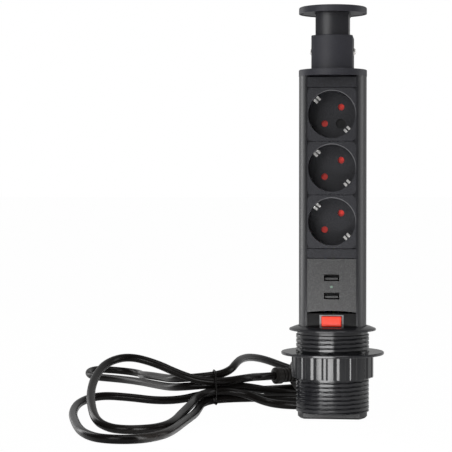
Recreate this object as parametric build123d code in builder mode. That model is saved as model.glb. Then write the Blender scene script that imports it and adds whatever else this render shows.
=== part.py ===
from build123d import *
import math
import os

# Pop-up socket tower for a worktop. Millimetres. The origin is the middle of the foot's underside,
# +Z runs up the tower and -Y is the side with the sockets.

# Clearances
SLIDE_FIT = 0.35          # tower in the collar's bore, on the radius
SEAT_FIT = 0.1            # pieces seated in each other within one body
RUNNING_FIT = 0.3         # curved pieces that move past each other
BRAKE_FIT = 0.05          # brake ring on the tube

# Tube
TUBE_R = 27.65
TUBE_WALL = 1.2
FACE_Y = -17.6            # flat front that the panel lies in
LIP_T = 1.7               # lips of the tube that hold the panel pieces
SLOT_HALF = 19.85         # half the width between the lips
CHANNEL_AT = (12.3, 21.2)  # screw channel at the back, one on each side
CHANNEL_R = 2.6
CHANNEL_HOLE_R = 1.5
TUBE_BORE_R = TUBE_R - TUBE_WALL
INSIDE_R = TUBE_BORE_R - SEAT_FIT - 0.05
LIP_Y = FACE_Y + LIP_T
CHANNELS = [(-CHANNEL_AT[0], CHANNEL_AT[1]), CHANNEL_AT]

# Foot and cord entry
FOOT_T = 5.0
FOOT_R = 28.4
FOOT_FLAT_Y = -17.0
FOOT_EDGE = 1.2
INSERT_H = 15.0
INSERT_WALL = 3.0
RELIEF_Z = 6.0
RELIEF_SHANK_R = 4.5
RELIEF_R = 5.5
RELIEF_END_R = 4.4
RELIEF_INNER_Y = 15.0
RELIEF_SHOULDER_Y = 29.05  # where the sleeve widens, in the collar's notch
RELIEF_END_Y = 52.0
RELIEF_LAND = 2.0
RELIEF_RIBS = 5
RELIEF_RIB_DEPTH = 0.6

# Collar, washer and nut
COLLAR_BASE = FOOT_T + SEAT_FIT
COLLAR_BORE_R = TUBE_R + SLIDE_FIT
THREAD_CREST_R = 29.9
FLANGE_Z = 71.5
FLANGE_R = 35.5
FLANGE_EDGE = 1.3
FLANGE_TOP = 75.3
FLANGE_LAND_R = 29.0
BORE_CHAMFER = 0.5
GROOVE_Z = 16.0
GROOVE_H = 4.0
GROOVE_DEPTH = 0.75
BRAKE_SPLIT = 3.0
WASHER_R = 42.1
WASHER_T = 2.3
WASHER_Z = 51.7
WASHER_EDGE = 0.5
NUT_R = 33.5
NUT_H = 18.3
NUT_FLUTES = 22
NUT_FLUTE_DEPTH = 0.9
NUT_FLUTE_R = 4.6
THREAD_BORE_R = THREAD_CREST_R + RUNNING_FIT

# Socket panel; its pieces stand on each other from inside the collar up to the tube's top
PANEL_END = 1.1           # from the panel's top to the tube's
LATCH_IN = 15.25          # how far the latch block reaches into the collar
PLATE_EDGE = 0.3
SEAM = 0.35
BLANK_H = 8.6
SOCKET_H = 43.1
SOCKETS = 3
STRIP_H = 7.6
USB_H = 43.6
USB_GAP = 1.0
LATCH_H = 26.0
FACE_HALF = SLOT_HALF - SEAT_FIT
SHOULDER_Y = LIP_Y + SEAT_FIT
SHOULDER_T = 2.4
PANEL_BACK = SHOULDER_Y + SHOULDER_T
LATCH_BOTTOM = FLANGE_TOP - LATCH_IN
LATCH_TOP = LATCH_BOTTOM + LATCH_H
LOWER_TOP = LATCH_BOTTOM - SEAM
USB_BOTTOM = LATCH_TOP + USB_GAP
USB_TOP = USB_BOTTOM + USB_H
STRIP_TOP = USB_TOP + SEAM + STRIP_H
PANEL_TOP = STRIP_TOP + SOCKETS * (SEAM + SOCKET_H) + SEAM + BLANK_H
TUBE_TOP = PANEL_TOP + PANEL_END
SOCKET_TOPS = [PANEL_TOP - BLANK_H - SEAM - i * (SOCKET_H + SEAM) for i in range(SOCKETS)]
SOCKET_Z = [top - SOCKET_H / 2 for top in SOCKET_TOPS]

# Socket insert
RECESS_R = 19.2
RECESS_DEPTH = 17.5
FLOOR_T = 2.2
CUP_WALL = 1.0
CORNER = 3.0
CORNER_DEPTH = 1.4
PIN_PITCH = 19.0
PIN_HOLE_R = 2.7
GUIDE_IN = 17.5           # guide flats, from the centre
GUIDE_SLOT = 10.0
GUIDE_SLOT_IN = 18.6
GUIDE_SET_BACK = 1.6
FLOOR_Y = FACE_Y + RECESS_DEPTH
CUP_R = RECESS_R + CUP_WALL
BLIND_HOLE_AT = (6.5, -6.9)
BLIND_HOLE_R = 3.9
BLIND_HOLE_DEPTH = 1.4

# Shutter, on a pin behind the floor
SHUTTER_T = 1.8
SHUTTER_POCKET_R = 13.2
SHUTTER_POCKET_T = 2.3
SHUTTER_DISC_R = 3.3
SHUTTER_BAR = 4.6
SHUTTER_PIN_R = 1.5
SHUTTER_HUB_R = 3.0
POCKET_Y = FLOOR_Y + FLOOR_T
CUP_BACK = POCKET_Y + SHUTTER_POCKET_T

# Contacts
CARRIER_R = 17.0
CARRIER_T = 12.0
CARRIER_EDGE = 0.8
CARRIER_Y = CUP_BACK + SEAT_FIT
CARRIER_BACK = CARRIER_Y + CARRIER_T
SLEEVE_R = 3.2
SLEEVE_BORE_R = 2.5
SLEEVE_FRONT = CARRIER_Y + 0.7
SLEEVE_LENGTH = 9.8
SLEEVE_HOLE_FIT = 0.4
STEM_R = 1.8
RAIL_T = 1.0
RAIL_W = 4.0
RAIL_Y = 18.6
EARTH_T = 0.8
EARTH_RAIL_W = 5.0
CLIP_W = 5.2
CLIP_T = 0.7
CLIP_SPLIT = 1.3
CLIP_LEG_R = 19.35
CLIP_TIP = (19.1, -15.6)  # distance from the centre, y
CLIP_WAIST = (15.6, -10.5)
CLIP_ROOT_Y = -4.5
CLIP_SLOT_W = 5.8
CLIP_SLOT_IN = 17.0
STRAP_Y = CARRIER_BACK + 0.2

# Wires
WIRE_R = 1.1
WIRE_TURN_Z = 42.0
WIRE_LOW_Z = 21.0
WIRE_LOW_Y = 8.0
WIRE_END_Z = 7.4
WIRE_BENDS = [12.0, 6.0, 3.0]
WIRE_PITCH = 2.4

# USB outlets
PORT_DROPS = (15.55, 30.3)   # port centres below the plate's top
PORT_W = 12.4
PORT_H = 5.4
PORT_WALL = 0.5
PORT_DEPTH = 13.8
PORT_SET_BACK = 1.2
TONGUE_W = 10.3
TONGUE_T = 1.7
TONGUE_L = 11.2
TONGUE_BASE_T = 2.0
TONGUE_DROP = 0.9
LAMP_R = 1.0
ARCH = 1.3
BOARD_T = 1.6
BOARD_W = 30.0
BOARD_H = 34.0
BOARD_POST_R = 1.8
POST_X = 12.6
POST_RISE = 14.2
CONVERTER_W = 22.0
CONVERTER_T = 12.0
CONVERTER_H = 26.0
CONVERTER_CORNER = 1.5

# Button
BUTTON_W = 16.0
BUTTON_H = 8.4
BUTTON_PROUD = 2.9
BUTTON_TRAVEL = 3.0
BUTTON_BEVEL = 0.8
BUTTON_Z = FLANGE_TOP + 0.1 + BUTTON_H / 2
BUTTON_FLANGE = 0.8
BUTTON_FLANGE_T = 1.5
FRAME_W = 19.4
FRAME_H = 10.6
FRAME_T = 1.6
FRAME_PROUD = 0.25
BUTTON_CLEAR = 0.2
LATCH_BACK = -4.5
CAVITY_BACK = -6.0
BUTTON_SPRING_R = 2.6
BUTTON_SPRING_WIRE_R = 0.35
BUTTON_SPRING_TURNS = 4

# Head
CAP_T = 5.2
CAP_R = TUBE_R + 0.2
CAP_EDGE = 0.35
CAP_PLUG_H = 6.5
WELL_R = 6.6
WELL_WALL = 1.4
WELL_FLOOR = 1.2
WELL_BOTTOM = PANEL_TOP - BLANK_H + 0.1
SLEEVE_HALF = 16.8
SLEEVE_ARC_R = 23.0
SLEEVE_WALL = 1.2
SLEEVE_H = 27.4
SLEEVE_CORNER = 2.2
SLEEVE_EDGE = 1.0
BLOCK_HALF = 13.5
BLOCK_ARC_R = 19.8
BLOCK_CORNER = 1.6
BLOCK_IN = 9.1            # how far the block reaches into the sleeve at rest
BLOCK_STEP = 1.4
BLOCK_FIT = 0.25
BLOCK_WALL = 1.8
BLOCK_LIP_H = 1.7
BLOCK_LIP = 0.6
CHEEK_HALF = 8.0
CHEEK_BELOW = 2.6         # from the cheeks' top to the sleeve's
SIDE_SCREW_UP = 15.1
LID_R = 27.7
LID_RISE = 18.4           # from the sleeve's top to the lid's underside at rest
LID_T = 5.3
LID_EDGE = 1.3
LID_RECESS_R = 26.6
LID_RECESS = 0.6
LID_HOLE_AT = 24.8
LID_HOLE_R = 1.3
CAP_TOP = TUBE_TOP + CAP_T
SLEEVE_TOP = CAP_TOP + SLEEVE_H
SIDE_SCREW_Z = CAP_TOP + SIDE_SCREW_UP
CHEEK_TOP = SLEEVE_TOP - CHEEK_BELOW
BLOCK_BOTTOM = SLEEVE_TOP - BLOCK_IN
LID_Z = SLEEVE_TOP + LID_RISE
SPRING_R = 5.0
SPRING_WIRE_R = 0.55
SPRING_TURNS = 9
SPRING_SEAT = 12.0        # from the lid's underside down to the spring's top
SPRING_TOP = LID_Z - SPRING_SEAT

# Screws
SCREW_HEAD_R = 2.75
SCREW_CONE_H = 1.6
SCREW_SUNK = 0.2
SCREW_SHANK_R = 1.35
SCREW_LENGTH = 12.0
PAN_HEAD_R = 3.2
PAN_HEAD_H = 2.0
PAN_SHOULDER = (1.45, 2.25)  # height and radius where the head rounds over
PAN_SHANK_R = 1.4
CLAMP_Y = 16.7
CLAMP_T = 3.6
CLAMP_HALF = 8.6
CLAMP_H = 7.4
CLAMP_SCREW_X = 6.6
CLAMP_SCREW_R = 0.95
CLAMP_HEAD_R = 1.9
CLAMP_HEAD_H = 1.2

# Cord and plug
CORD_R = 3.5
TIE_AT = (-106.03, 70.62, 14.2)
TIE_HEADING = 14.4
TIE_INSIDE = (15.0, 26.6)
TIE_T = 0.8
TIE_W = 2.6
BOOT_RING_R = 7.5
BOOT_RING_L = 6.5
BOOT_R = 6.5
BOOT_L = 21.0
BOOT_RIBS = 4
PLUG_R = 19.2
PLUG_L = 44.0
PLUG_NECK_R = 8.0
PLUG_FACE_R = 18.4
PLUG_RISE_L = 16.0        # from the neck to the full radius
PLUG_GRIP_L = 8.0
PLUG_STEP_L = 2.0
PLUG_EDGE = 1.0
PLUG_FACE_L = PLUG_L - PLUG_RISE_L - PLUG_GRIP_L - PLUG_STEP_L
PIN_R = 2.4
PIN_L = 19.0
PIN_TIP_R = 1.6
STRIP_SIDE = 5.0

# Route of the cord, from the plug's boot to the strain relief. The cord is folded into a bundle
# with loops on both sides, and tied once where all its strands pass close together.
ROUTE = [
    (-57.8, 120.8, 19.5), (-68.9, 111.7, 19.5), (-75.1, 95.7, 20.9), (-82.0, 80.9, 21.2),
    (-95.5, 69.8, 19.9), (-114.9, 64.8, 19.9), (-134.7, 61.4, 26.0), (-157.3, 65.9, 34.0),
    (-179.8, 60.3, 39.5), (-194.5, 38.6, 37.0), (-200.1, 7.7, 31.0), (-198.1, -28.3, 23.0),
    (-190.1, -63.6, 13.5), (-181.2, -88.8, 6.5), (-173.0, -108.0, 4.0), (-155.8, -118.1, 3.6),
    (-136.2, -113.9, 3.6), (-124.9, -98.0, 3.6), (-126.6, -64.5, 3.6), (-130.3, -22.7, 4.0),
    (-132.7, 25.4, 6.5), (-128.8, 49.0, 10.0), (-114.9, 64.8, 12.3), (-95.5, 69.8, 12.3),
    (-76.8, 65.8, 9.8), (-61.3, 53.0, 5.2), (-46.8, 40.5, 3.6), (-24.6, 39.5, 3.6),
    (-8.2, 54.2, 3.6), (-7.3, 75.7, 3.6), (-21.4, 92.2, 3.6), (-45.6, 92.5, 3.6),
    (-68.2, 87.9, 3.6), (-91.6, 70.8, 4.7), (-111.0, 65.8, 4.7), (-123.3, 50.1, 3.6),
    (-124.9, 28.3, 3.6), (-120.1, -5.4, 3.6), (-115.3, -57.2, 3.6), (-117.3, -111.8, 3.6),
    (-122.8, -152.6, 3.6), (-137.9, -168.9, 3.6), (-159.7, -171.9, 3.6), (-177.2, -160.3, 3.6),
    (-185.9, -127.5, 3.6), (-200.2, -80.8, 3.6), (-212.8, -31.9, 4.5), (-215.4, 9.1, 8.0),
    (-200.8, 31.8, 11.0), (-175.6, 40.7, 9.5), (-153.2, 47.2, 6.5), (-133.4, 58.5, 6.0),
    (-116.6, 71.4, 8.5), (-97.2, 76.4, 8.5), (-82.4, 97.4, 7.5), (-70.4, 124.9, 6.5),
    (-58.2, 151.0, 4.0), (-36.4, 172.0, 3.6), (-10.7, 185.5, 3.6), (8.0, 198.1, 3.6),
    (13.4, 218.2, 3.6), (3.0, 236.2, 3.6), (-17.2, 241.2, 5.0), (-36.8, 229.3, 10.0),
    (-55.9, 211.1, 17.0), (-73.3, 187.0, 25.0), (-82.1, 157.8, 29.0), (-83.0, 129.6, 30.0),
    (-82.2, 104.5, 28.0), (-86.8, 87.4, 25.0), (-97.2, 76.4, 23.7), (-116.6, 71.4, 23.7),
    (-131.3, 74.6, 22.2), (-143.3, 84.1, 21.0), (-152.8, 101.6, 19.6), (-160.9, 124.8, 18.6),
    (-179.3, 163.0, 17.0), (-191.3, 197.9, 12.0), (-198.0, 231.4, 8.0), (-201.4, 261.2, 5.0),
    (-215.4, 275.5, 4.0), (-235.3, 277.4, 3.6), (-251.7, 266.1, 3.6), (-257.1, 246.9, 3.6),
    (-248.8, 228.7, 4.0), (-214.7, 209.4, 5.0), (-188.8, 176.1, 6.5), (-168.0, 134.1, 9.0),
    (-152.8, 101.6, 11.2), (-143.3, 84.1, 13.0), (-131.3, 74.6, 14.5), (-116.6, 71.4, 16.1),
    (-97.2, 76.4, 16.1), (-79.2, 86.7, 13.4), (-61.7, 101.8, 8.5), (-41.5, 110.1, 4.9),
    (-20.1, 107.4, 4.2), (-5.5, 94.0, 4.9), (0.0, 73.5, 6.0), (0.0, RELIEF_END_Y, RELIEF_Z),
]
PLUG_SIDE_RUN = 3         # the cord's nodes meet in the middle of these runs
TOWER_SIDE_RUN = 92

os.makedirs("parts", exist_ok=True)


def save(piece, name):
    """Labels a finished piece and writes it."""
    piece.part.label = name
    export_step(piece.part, "parts/" + name + ".step")


def facing(y, z=0.0, x=0.0):
    """Plane parallel to the panel: local x is +X, local y is +Z, and it faces the front."""
    return Plane(origin=(x, y, z), x_dir=(1, 0, 0), z_dir=(0, -1, 0))


def panel_plan(bottom, back):
    """Plan of a panel piece: its face between the tube's lips and its shoulders behind them."""
    with BuildSketch(Plane.XY.offset(bottom)) as plan:
        Circle(INSIDE_R)
        with Locations((0, SHOULDER_Y)):
            Rectangle(2 * TUBE_R, back - SHOULDER_Y, align=(Align.CENTER, Align.MIN), mode=Mode.INTERSECT)
        with Locations((0, FACE_Y)):
            Rectangle(2 * FACE_HALF, LIP_T + SEAT_FIT, align=(Align.CENTER, Align.MIN))
    return plan.sketch


def inside_plan(bottom, front, wall=0.0):
    """Plan of a plug inside the tube, behind y = front, hollow where a wall is given."""
    with BuildSketch(Plane.XY.offset(bottom)) as plan:
        Circle(INSIDE_R)
        if wall:
            Circle(INSIDE_R - wall, mode=Mode.SUBTRACT)
        with Locations((0, front)):
            Rectangle(2 * TUBE_R, 2 * TUBE_R, align=(Align.CENTER, Align.MIN), mode=Mode.INTERSECT)
        with Locations(*CHANNELS):
            Circle(CHANNEL_R + SEAT_FIT, mode=Mode.SUBTRACT)
    return plan.sketch


def barrel_plan(bottom, radius, half, corner):
    """Plan of the head's parts: a circle with flat sides and rounded corners."""
    with BuildSketch(Plane.XY.offset(bottom)) as plan:
        Circle(radius)
        Rectangle(2 * half, 2 * radius, mode=Mode.INTERSECT)
        fillet(plan.vertices(), corner)
    return plan.sketch


# Collar: barrel, domed flange and the groove of the brake ring
with BuildPart() as mounting_collar:
    with BuildSketch(Plane.XZ) as profile:
        with BuildLine():
            Polyline(
                (FLANGE_LAND_R, FLANGE_TOP),
                (COLLAR_BORE_R + BORE_CHAMFER, FLANGE_TOP),
                (COLLAR_BORE_R, FLANGE_TOP - BORE_CHAMFER),
                (COLLAR_BORE_R, GROOVE_Z + GROOVE_H),
                (COLLAR_BORE_R + GROOVE_DEPTH, GROOVE_Z + GROOVE_H),
                (COLLAR_BORE_R + GROOVE_DEPTH, GROOVE_Z),
                (COLLAR_BORE_R, GROOVE_Z),
                (COLLAR_BORE_R, COLLAR_BASE),
                (THREAD_CREST_R, COLLAR_BASE),
                (THREAD_CREST_R, FLANGE_Z),
                (FLANGE_R, FLANGE_Z),
                (FLANGE_R, FLANGE_Z + FLANGE_EDGE),
            )
            SagittaArc((FLANGE_R, FLANGE_Z + FLANGE_EDGE), (FLANGE_LAND_R, FLANGE_TOP), -0.5)
        make_face()
    revolve(axis=Axis.Z)
    with BuildSketch(facing(FLANGE_R, RELIEF_Z)):
        SlotOverall(4 * RELIEF_R, 2 * (RELIEF_R + 0.7), rotation=90)
    extrude(amount=FLANGE_R - COLLAR_BORE_R / 2, mode=Mode.SUBTRACT)
save(mounting_collar, "mounting_collar")

# Brake ring: split ring in the collar's groove that grips the tube
with BuildPart() as brake_ring:
    with BuildSketch(Plane.XY.offset(GROOVE_Z + SEAT_FIT)):
        Circle(COLLAR_BORE_R + GROOVE_DEPTH - BRAKE_FIT)
        Circle(TUBE_R + BRAKE_FIT, mode=Mode.SUBTRACT)
        with Locations((0, COLLAR_BORE_R)):
            Rectangle(BRAKE_SPLIT, TUBE_WALL * 6, mode=Mode.SUBTRACT)
    extrude(amount=GROOVE_H - 2 * SEAT_FIT)
save(brake_ring, "brake_ring")

# Clamping washer and ring nut below the worktop
with BuildPart() as clamp_washer:
    with BuildSketch(Plane.XY.offset(WASHER_Z)):
        Circle(WASHER_R)
        Circle(THREAD_BORE_R, mode=Mode.SUBTRACT)
    extrude(amount=WASHER_T)
    chamfer(clamp_washer.edges().filter_by(GeomType.CIRCLE).group_by(SortBy.RADIUS)[-1], WASHER_EDGE)
save(clamp_washer, "clamp_washer")

with BuildPart() as ring_nut:
    with BuildSketch(Plane.XY.offset(WASHER_Z - SEAT_FIT)):
        Circle(NUT_R)
        Circle(THREAD_BORE_R, mode=Mode.SUBTRACT)
        with PolarLocations(NUT_R + NUT_FLUTE_R - NUT_FLUTE_DEPTH, NUT_FLUTES):
            Circle(NUT_FLUTE_R, mode=Mode.SUBTRACT)
    extrude(amount=-NUT_H)
save(ring_nut, "ring_nut")

# Tube: a round extrusion with a flat front, an open slot for the panel and two screw channels
with BuildPart() as tower_tube:
    with BuildSketch(Plane.XY.offset(FOOT_T)):
        Circle(TUBE_R)
        with BuildSketch(mode=Mode.PRIVATE) as bore:
            Circle(TUBE_BORE_R)
            with Locations((0, LIP_Y)):
                Rectangle(2 * TUBE_R, TUBE_R, align=(Align.CENTER, Align.MAX), mode=Mode.SUBTRACT)
            with Locations((0, LIP_Y)):
                Rectangle(2 * SLOT_HALF, TUBE_R, align=(Align.CENTER, Align.MAX))
        add(bore.sketch, mode=Mode.SUBTRACT)
        with Locations((0, FACE_Y)):
            Rectangle(2 * TUBE_R, TUBE_R, align=(Align.CENTER, Align.MAX), mode=Mode.SUBTRACT)
        with Locations(*CHANNELS):
            Circle(CHANNEL_R)
        with Locations(*CHANNELS):
            Circle(CHANNEL_HOLE_R, mode=Mode.SUBTRACT)
    extrude(amount=TUBE_TOP - FOOT_T)
    with BuildSketch(facing(TUBE_R + 1, RELIEF_Z)):
        SlotOverall(4 * RELIEF_R, 2 * (RELIEF_R + 0.3), rotation=90)
    extrude(amount=TUBE_WALL + 4, mode=Mode.SUBTRACT)
save(tower_tube, "tower_tube")

# Foot: flange wider than the collar's bore, an insert in the tube and a groove for the cord
with BuildPart() as end_cap:
    with BuildSketch(Plane.XY):
        Circle(FOOT_R)
        with Locations((0, FOOT_FLAT_Y)):
            Rectangle(2 * FOOT_R, FOOT_R, align=(Align.CENTER, Align.MAX), mode=Mode.SUBTRACT)
    extrude(amount=FOOT_T)
    chamfer(end_cap.edges().group_by(Axis.Z)[0], FOOT_EDGE)
    extrude(inside_plan(FOOT_T, PANEL_BACK + SEAT_FIT, INSERT_WALL), amount=INSERT_H)
    with BuildSketch(facing(FOOT_R + 1, RELIEF_Z)):
        Circle(RELIEF_SHANK_R + SEAT_FIT)
    extrude(amount=FOOT_R + 1 - RELIEF_INNER_Y + SEAT_FIT, mode=Mode.SUBTRACT)
    with BuildSketch(facing(FOOT_R + 1, RELIEF_Z)):
        with Locations((0, INSERT_H)):
            Rectangle(2 * (RELIEF_SHANK_R + SEAT_FIT), 2 * INSERT_H)
    extrude(amount=FOOT_R - INSIDE_R + INSERT_WALL + 2, mode=Mode.SUBTRACT)
    with BuildSketch(Plane.XY):
        with Locations(*CHANNELS):
            Circle(SCREW_SHANK_R + 2 * SEAT_FIT)
    extrude(amount=FOOT_T, mode=Mode.SUBTRACT)
    with Locations(*[(x, y, 0) for x, y in CHANNELS]):
        Cone(SCREW_HEAD_R + SEAT_FIT, SCREW_SHANK_R + SEAT_FIT, SCREW_CONE_H + SEAT_FIT,
             align=(Align.CENTER, Align.CENTER, Align.MIN), mode=Mode.SUBTRACT)
save(end_cap, "end_cap")


def countersunk(places, z, up):
    """Group of countersunk screws whose heads are flush with z, pointing up or down."""
    rim_r = SCREW_HEAD_R - (SCREW_HEAD_R - SCREW_SHANK_R) * SCREW_SUNK / SCREW_CONE_H
    with BuildPart() as screws:
        for x, y in places:
            with BuildSketch(Plane(origin=(x, y, z), x_dir=(1, 0, 0), z_dir=(0, -1, 0))):
                with BuildLine():
                    Polyline((0, up * SCREW_SUNK), (rim_r, up * SCREW_SUNK),
                             (SCREW_SHANK_R, up * SCREW_CONE_H), (SCREW_SHANK_R, up * SCREW_LENGTH),
                             (0, up * SCREW_LENGTH), close=True)
                make_face()
            revolve(axis=Axis((x, y, z), (0, 0, 1)))
    return screws


end_cap_screws = countersunk(CHANNELS, 0.0, 1)
save(end_cap_screws, "end_cap_screws")

# Strain relief: shank under the clamp, then a tapered, ribbed sleeve behind the collar
with BuildPart() as strain_relief:
    with BuildSketch(Plane.YZ):
        ribs_y = RELIEF_SHOULDER_Y + RELIEF_LAND
        rib_pitch = (RELIEF_END_Y - RELIEF_LAND - ribs_y) / RELIEF_RIBS
        with BuildLine():
            outline = [(RELIEF_INNER_Y, RELIEF_Z), (RELIEF_INNER_Y, RELIEF_Z + RELIEF_SHANK_R),
                       (RELIEF_SHOULDER_Y, RELIEF_Z + RELIEF_SHANK_R),
                       (RELIEF_SHOULDER_Y, RELIEF_Z + RELIEF_R),
                       (ribs_y, RELIEF_Z + RELIEF_R)]
            for i in range(RELIEF_RIBS):
                rib_top = RELIEF_Z + RELIEF_R - (RELIEF_R - RELIEF_END_R) * (i + 1) / RELIEF_RIBS
                y = ribs_y + i * rib_pitch
                outline.append((y, rib_top - RELIEF_RIB_DEPTH))
                outline.append((y + rib_pitch / 2, rib_top - RELIEF_RIB_DEPTH))
                outline.append((y + rib_pitch / 2, rib_top))
                outline.append((y + rib_pitch, rib_top))
            outline.append((RELIEF_END_Y, RELIEF_Z + RELIEF_END_R - RELIEF_RIB_DEPTH / 2))
            outline.append((RELIEF_END_Y, RELIEF_Z))
            Polyline(*outline, close=True)
        make_face()
    revolve(axis=Axis((0, 0, RELIEF_Z), (0, 1, 0)))
save(strain_relief, "strain_relief")

# Clamp: saddle over the strain relief's shank, screwed to the foot
with BuildPart() as cord_clamp:
    with BuildSketch(facing(CLAMP_Y + CLAMP_T, FOOT_T)):
        Rectangle(2 * CLAMP_HALF, CLAMP_H, align=(Align.CENTER, Align.MIN))
        with Locations((0, RELIEF_Z - FOOT_T)):
            Circle(RELIEF_SHANK_R + SEAT_FIT, mode=Mode.SUBTRACT)
            Rectangle(2 * (RELIEF_SHANK_R + SEAT_FIT), 2 * (RELIEF_Z - FOOT_T), mode=Mode.SUBTRACT)
    extrude(amount=CLAMP_T)
    with BuildSketch(Plane.XY.offset(FOOT_T)):
        with Locations((-CLAMP_SCREW_X, CLAMP_Y + CLAMP_T / 2), (CLAMP_SCREW_X, CLAMP_Y + CLAMP_T / 2)):
            Circle(CLAMP_SCREW_R + SEAT_FIT)
    extrude(amount=CLAMP_H, mode=Mode.SUBTRACT)
save(cord_clamp, "cord_clamp")

with BuildPart() as clamp_screws:
    for side in (-1, 1):
        with BuildSketch(facing(CLAMP_Y + CLAMP_T / 2, FOOT_T, side * CLAMP_SCREW_X)):
            Rectangle(CLAMP_SCREW_R, CLAMP_H, align=(Align.MIN, Align.MIN))
            with Locations((0, CLAMP_H)):
                Rectangle(CLAMP_HEAD_R, CLAMP_HEAD_H, align=(Align.MIN, Align.MIN))
        revolve(axis=Axis((side * CLAMP_SCREW_X, CLAMP_Y + CLAMP_T / 2, 0), (0, 0, 1)))
save(clamp_screws, "clamp_screws")

# Cap on the tube's top: disc, plug, spring well and two cheeks that carry the sleeve
with BuildPart() as top_cap:
    with BuildSketch(Plane.XY.offset(TUBE_TOP)):
        Circle(CAP_R)
    extrude(amount=CAP_T)
    chamfer(top_cap.edges().group_by(Axis.Z)[-1], CAP_EDGE)
    plug_bottom = TUBE_TOP - CAP_PLUG_H
    extrude(inside_plan(plug_bottom, PANEL_BACK + SEAT_FIT, INSERT_WALL), amount=CAP_PLUG_H)
    with BuildSketch(Plane.XY.offset(WELL_BOTTOM)):
        Circle(WELL_R + WELL_WALL)
    extrude(amount=TUBE_TOP - WELL_BOTTOM)
    with BuildSketch(Plane.XY.offset(CAP_TOP)):
        for side in (-1, 1):
            with Locations((side * (BLOCK_HALF + RUNNING_FIT), 0)):
                edge = Align.MIN if side > 0 else Align.MAX
                cheek_t = SLEEVE_HALF - SLEEVE_WALL - SEAT_FIT - BLOCK_HALF - RUNNING_FIT
                Rectangle(cheek_t, 2 * CHEEK_HALF, align=(edge, Align.CENTER))
    extrude(amount=CHEEK_TOP - CAP_TOP)
    with BuildSketch(Plane.XY.offset(WELL_BOTTOM + WELL_FLOOR)):
        Circle(WELL_R)
    extrude(amount=CAP_TOP - WELL_BOTTOM, mode=Mode.SUBTRACT)
    with BuildSketch(Plane.YZ.offset(-SLEEVE_HALF)):
        with Locations((0, SIDE_SCREW_Z)):
            Circle(PAN_SHANK_R + SEAT_FIT)
    extrude(amount=2 * SLEEVE_HALF, mode=Mode.SUBTRACT)
    with BuildSketch(Plane.XY.offset(TUBE_TOP)):
        with Locations(*CHANNELS):
            Circle(SCREW_SHANK_R + 2 * SEAT_FIT)
    extrude(amount=CAP_T, mode=Mode.SUBTRACT)
    with Locations(*[(x, y, CAP_TOP) for x, y in CHANNELS]):
        Cone(SCREW_SHANK_R + SEAT_FIT, SCREW_HEAD_R + SEAT_FIT, SCREW_CONE_H + SEAT_FIT,
             align=(Align.CENTER, Align.CENTER, Align.MAX), mode=Mode.SUBTRACT)
save(top_cap, "top_cap")

top_cap_screws = countersunk(CHANNELS, CAP_TOP, -1)
save(top_cap_screws, "top_cap_screws")

# Sleeve on the cap, with an opening for the sliding block
with BuildPart() as neck_sleeve:
    extrude(barrel_plan(CAP_TOP + SEAT_FIT, SLEEVE_ARC_R, SLEEVE_HALF, SLEEVE_CORNER),
            amount=SLEEVE_TOP - CAP_TOP - SEAT_FIT)
    fillet(neck_sleeve.edges().group_by(Axis.Z)[-1], SLEEVE_EDGE)
    extrude(barrel_plan(CAP_TOP + SEAT_FIT, SLEEVE_ARC_R - SLEEVE_WALL, SLEEVE_HALF - SLEEVE_WALL,
                        SLEEVE_CORNER - SLEEVE_WALL),
            amount=SLEEVE_TOP - CAP_TOP - SEAT_FIT - SLEEVE_WALL, mode=Mode.SUBTRACT)
    extrude(barrel_plan(SLEEVE_TOP - 2 * SLEEVE_WALL, BLOCK_ARC_R + BLOCK_FIT, BLOCK_HALF + BLOCK_FIT,
                        BLOCK_CORNER), amount=3 * SLEEVE_WALL, mode=Mode.SUBTRACT)
    with BuildSketch(Plane.YZ.offset(-SLEEVE_HALF - 1)):
        with Locations((0, SIDE_SCREW_Z)):
            Circle(PAN_SHANK_R + SEAT_FIT)
    extrude(amount=2 * SLEEVE_HALF + 2, mode=Mode.SUBTRACT)
save(neck_sleeve, "neck_sleeve")

# Pan-head screws through the sleeve's sides into the cheeks
with BuildPart() as sleeve_screws:
    for side in (-1, 1):
        tip = side * (BLOCK_HALF + BLOCK_FIT + 2 * SEAT_FIT)
        head = side * SLEEVE_HALF
        shoulder = (head + side * PAN_SHOULDER[0], SIDE_SCREW_Z + PAN_SHOULDER[1])
        with BuildSketch(Plane.XZ):
            with BuildLine():
                Polyline((tip, SIDE_SCREW_Z), (tip, SIDE_SCREW_Z + PAN_SHANK_R),
                         (head, SIDE_SCREW_Z + PAN_SHANK_R), (head, SIDE_SCREW_Z + PAN_HEAD_R),
                         shoulder, (head + side * PAN_HEAD_H, SIDE_SCREW_Z), close=True)
            make_face()
        revolve(axis=Axis((0, 0, SIDE_SCREW_Z), (1, 0, 0)))
save(sleeve_screws, "sleeve_screws")

# Sliding block: a wider foot that stops under the sleeve's top, a hollow shank and a lip
with BuildPart() as neck_block:
    stop_z = SLEEVE_TOP - SLEEVE_WALL - SEAT_FIT
    block_top = LID_Z + LID_RECESS
    extrude(barrel_plan(BLOCK_BOTTOM, BLOCK_ARC_R, BLOCK_HALF, BLOCK_CORNER),
            amount=block_top - BLOCK_BOTTOM)
    extrude(barrel_plan(BLOCK_BOTTOM, BLOCK_ARC_R + BLOCK_STEP, BLOCK_HALF, BLOCK_CORNER),
            amount=stop_z - BLOCK_BOTTOM)
    extrude(barrel_plan(LID_Z - BLOCK_LIP_H, BLOCK_ARC_R + BLOCK_LIP, BLOCK_HALF + BLOCK_LIP,
                        BLOCK_CORNER), amount=BLOCK_LIP_H)
    extrude(barrel_plan(BLOCK_BOTTOM, BLOCK_ARC_R - BLOCK_WALL, BLOCK_HALF - BLOCK_WALL, BLOCK_CORNER),
            amount=SPRING_TOP - BLOCK_BOTTOM, mode=Mode.SUBTRACT)
save(neck_block, "neck_block")

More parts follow.
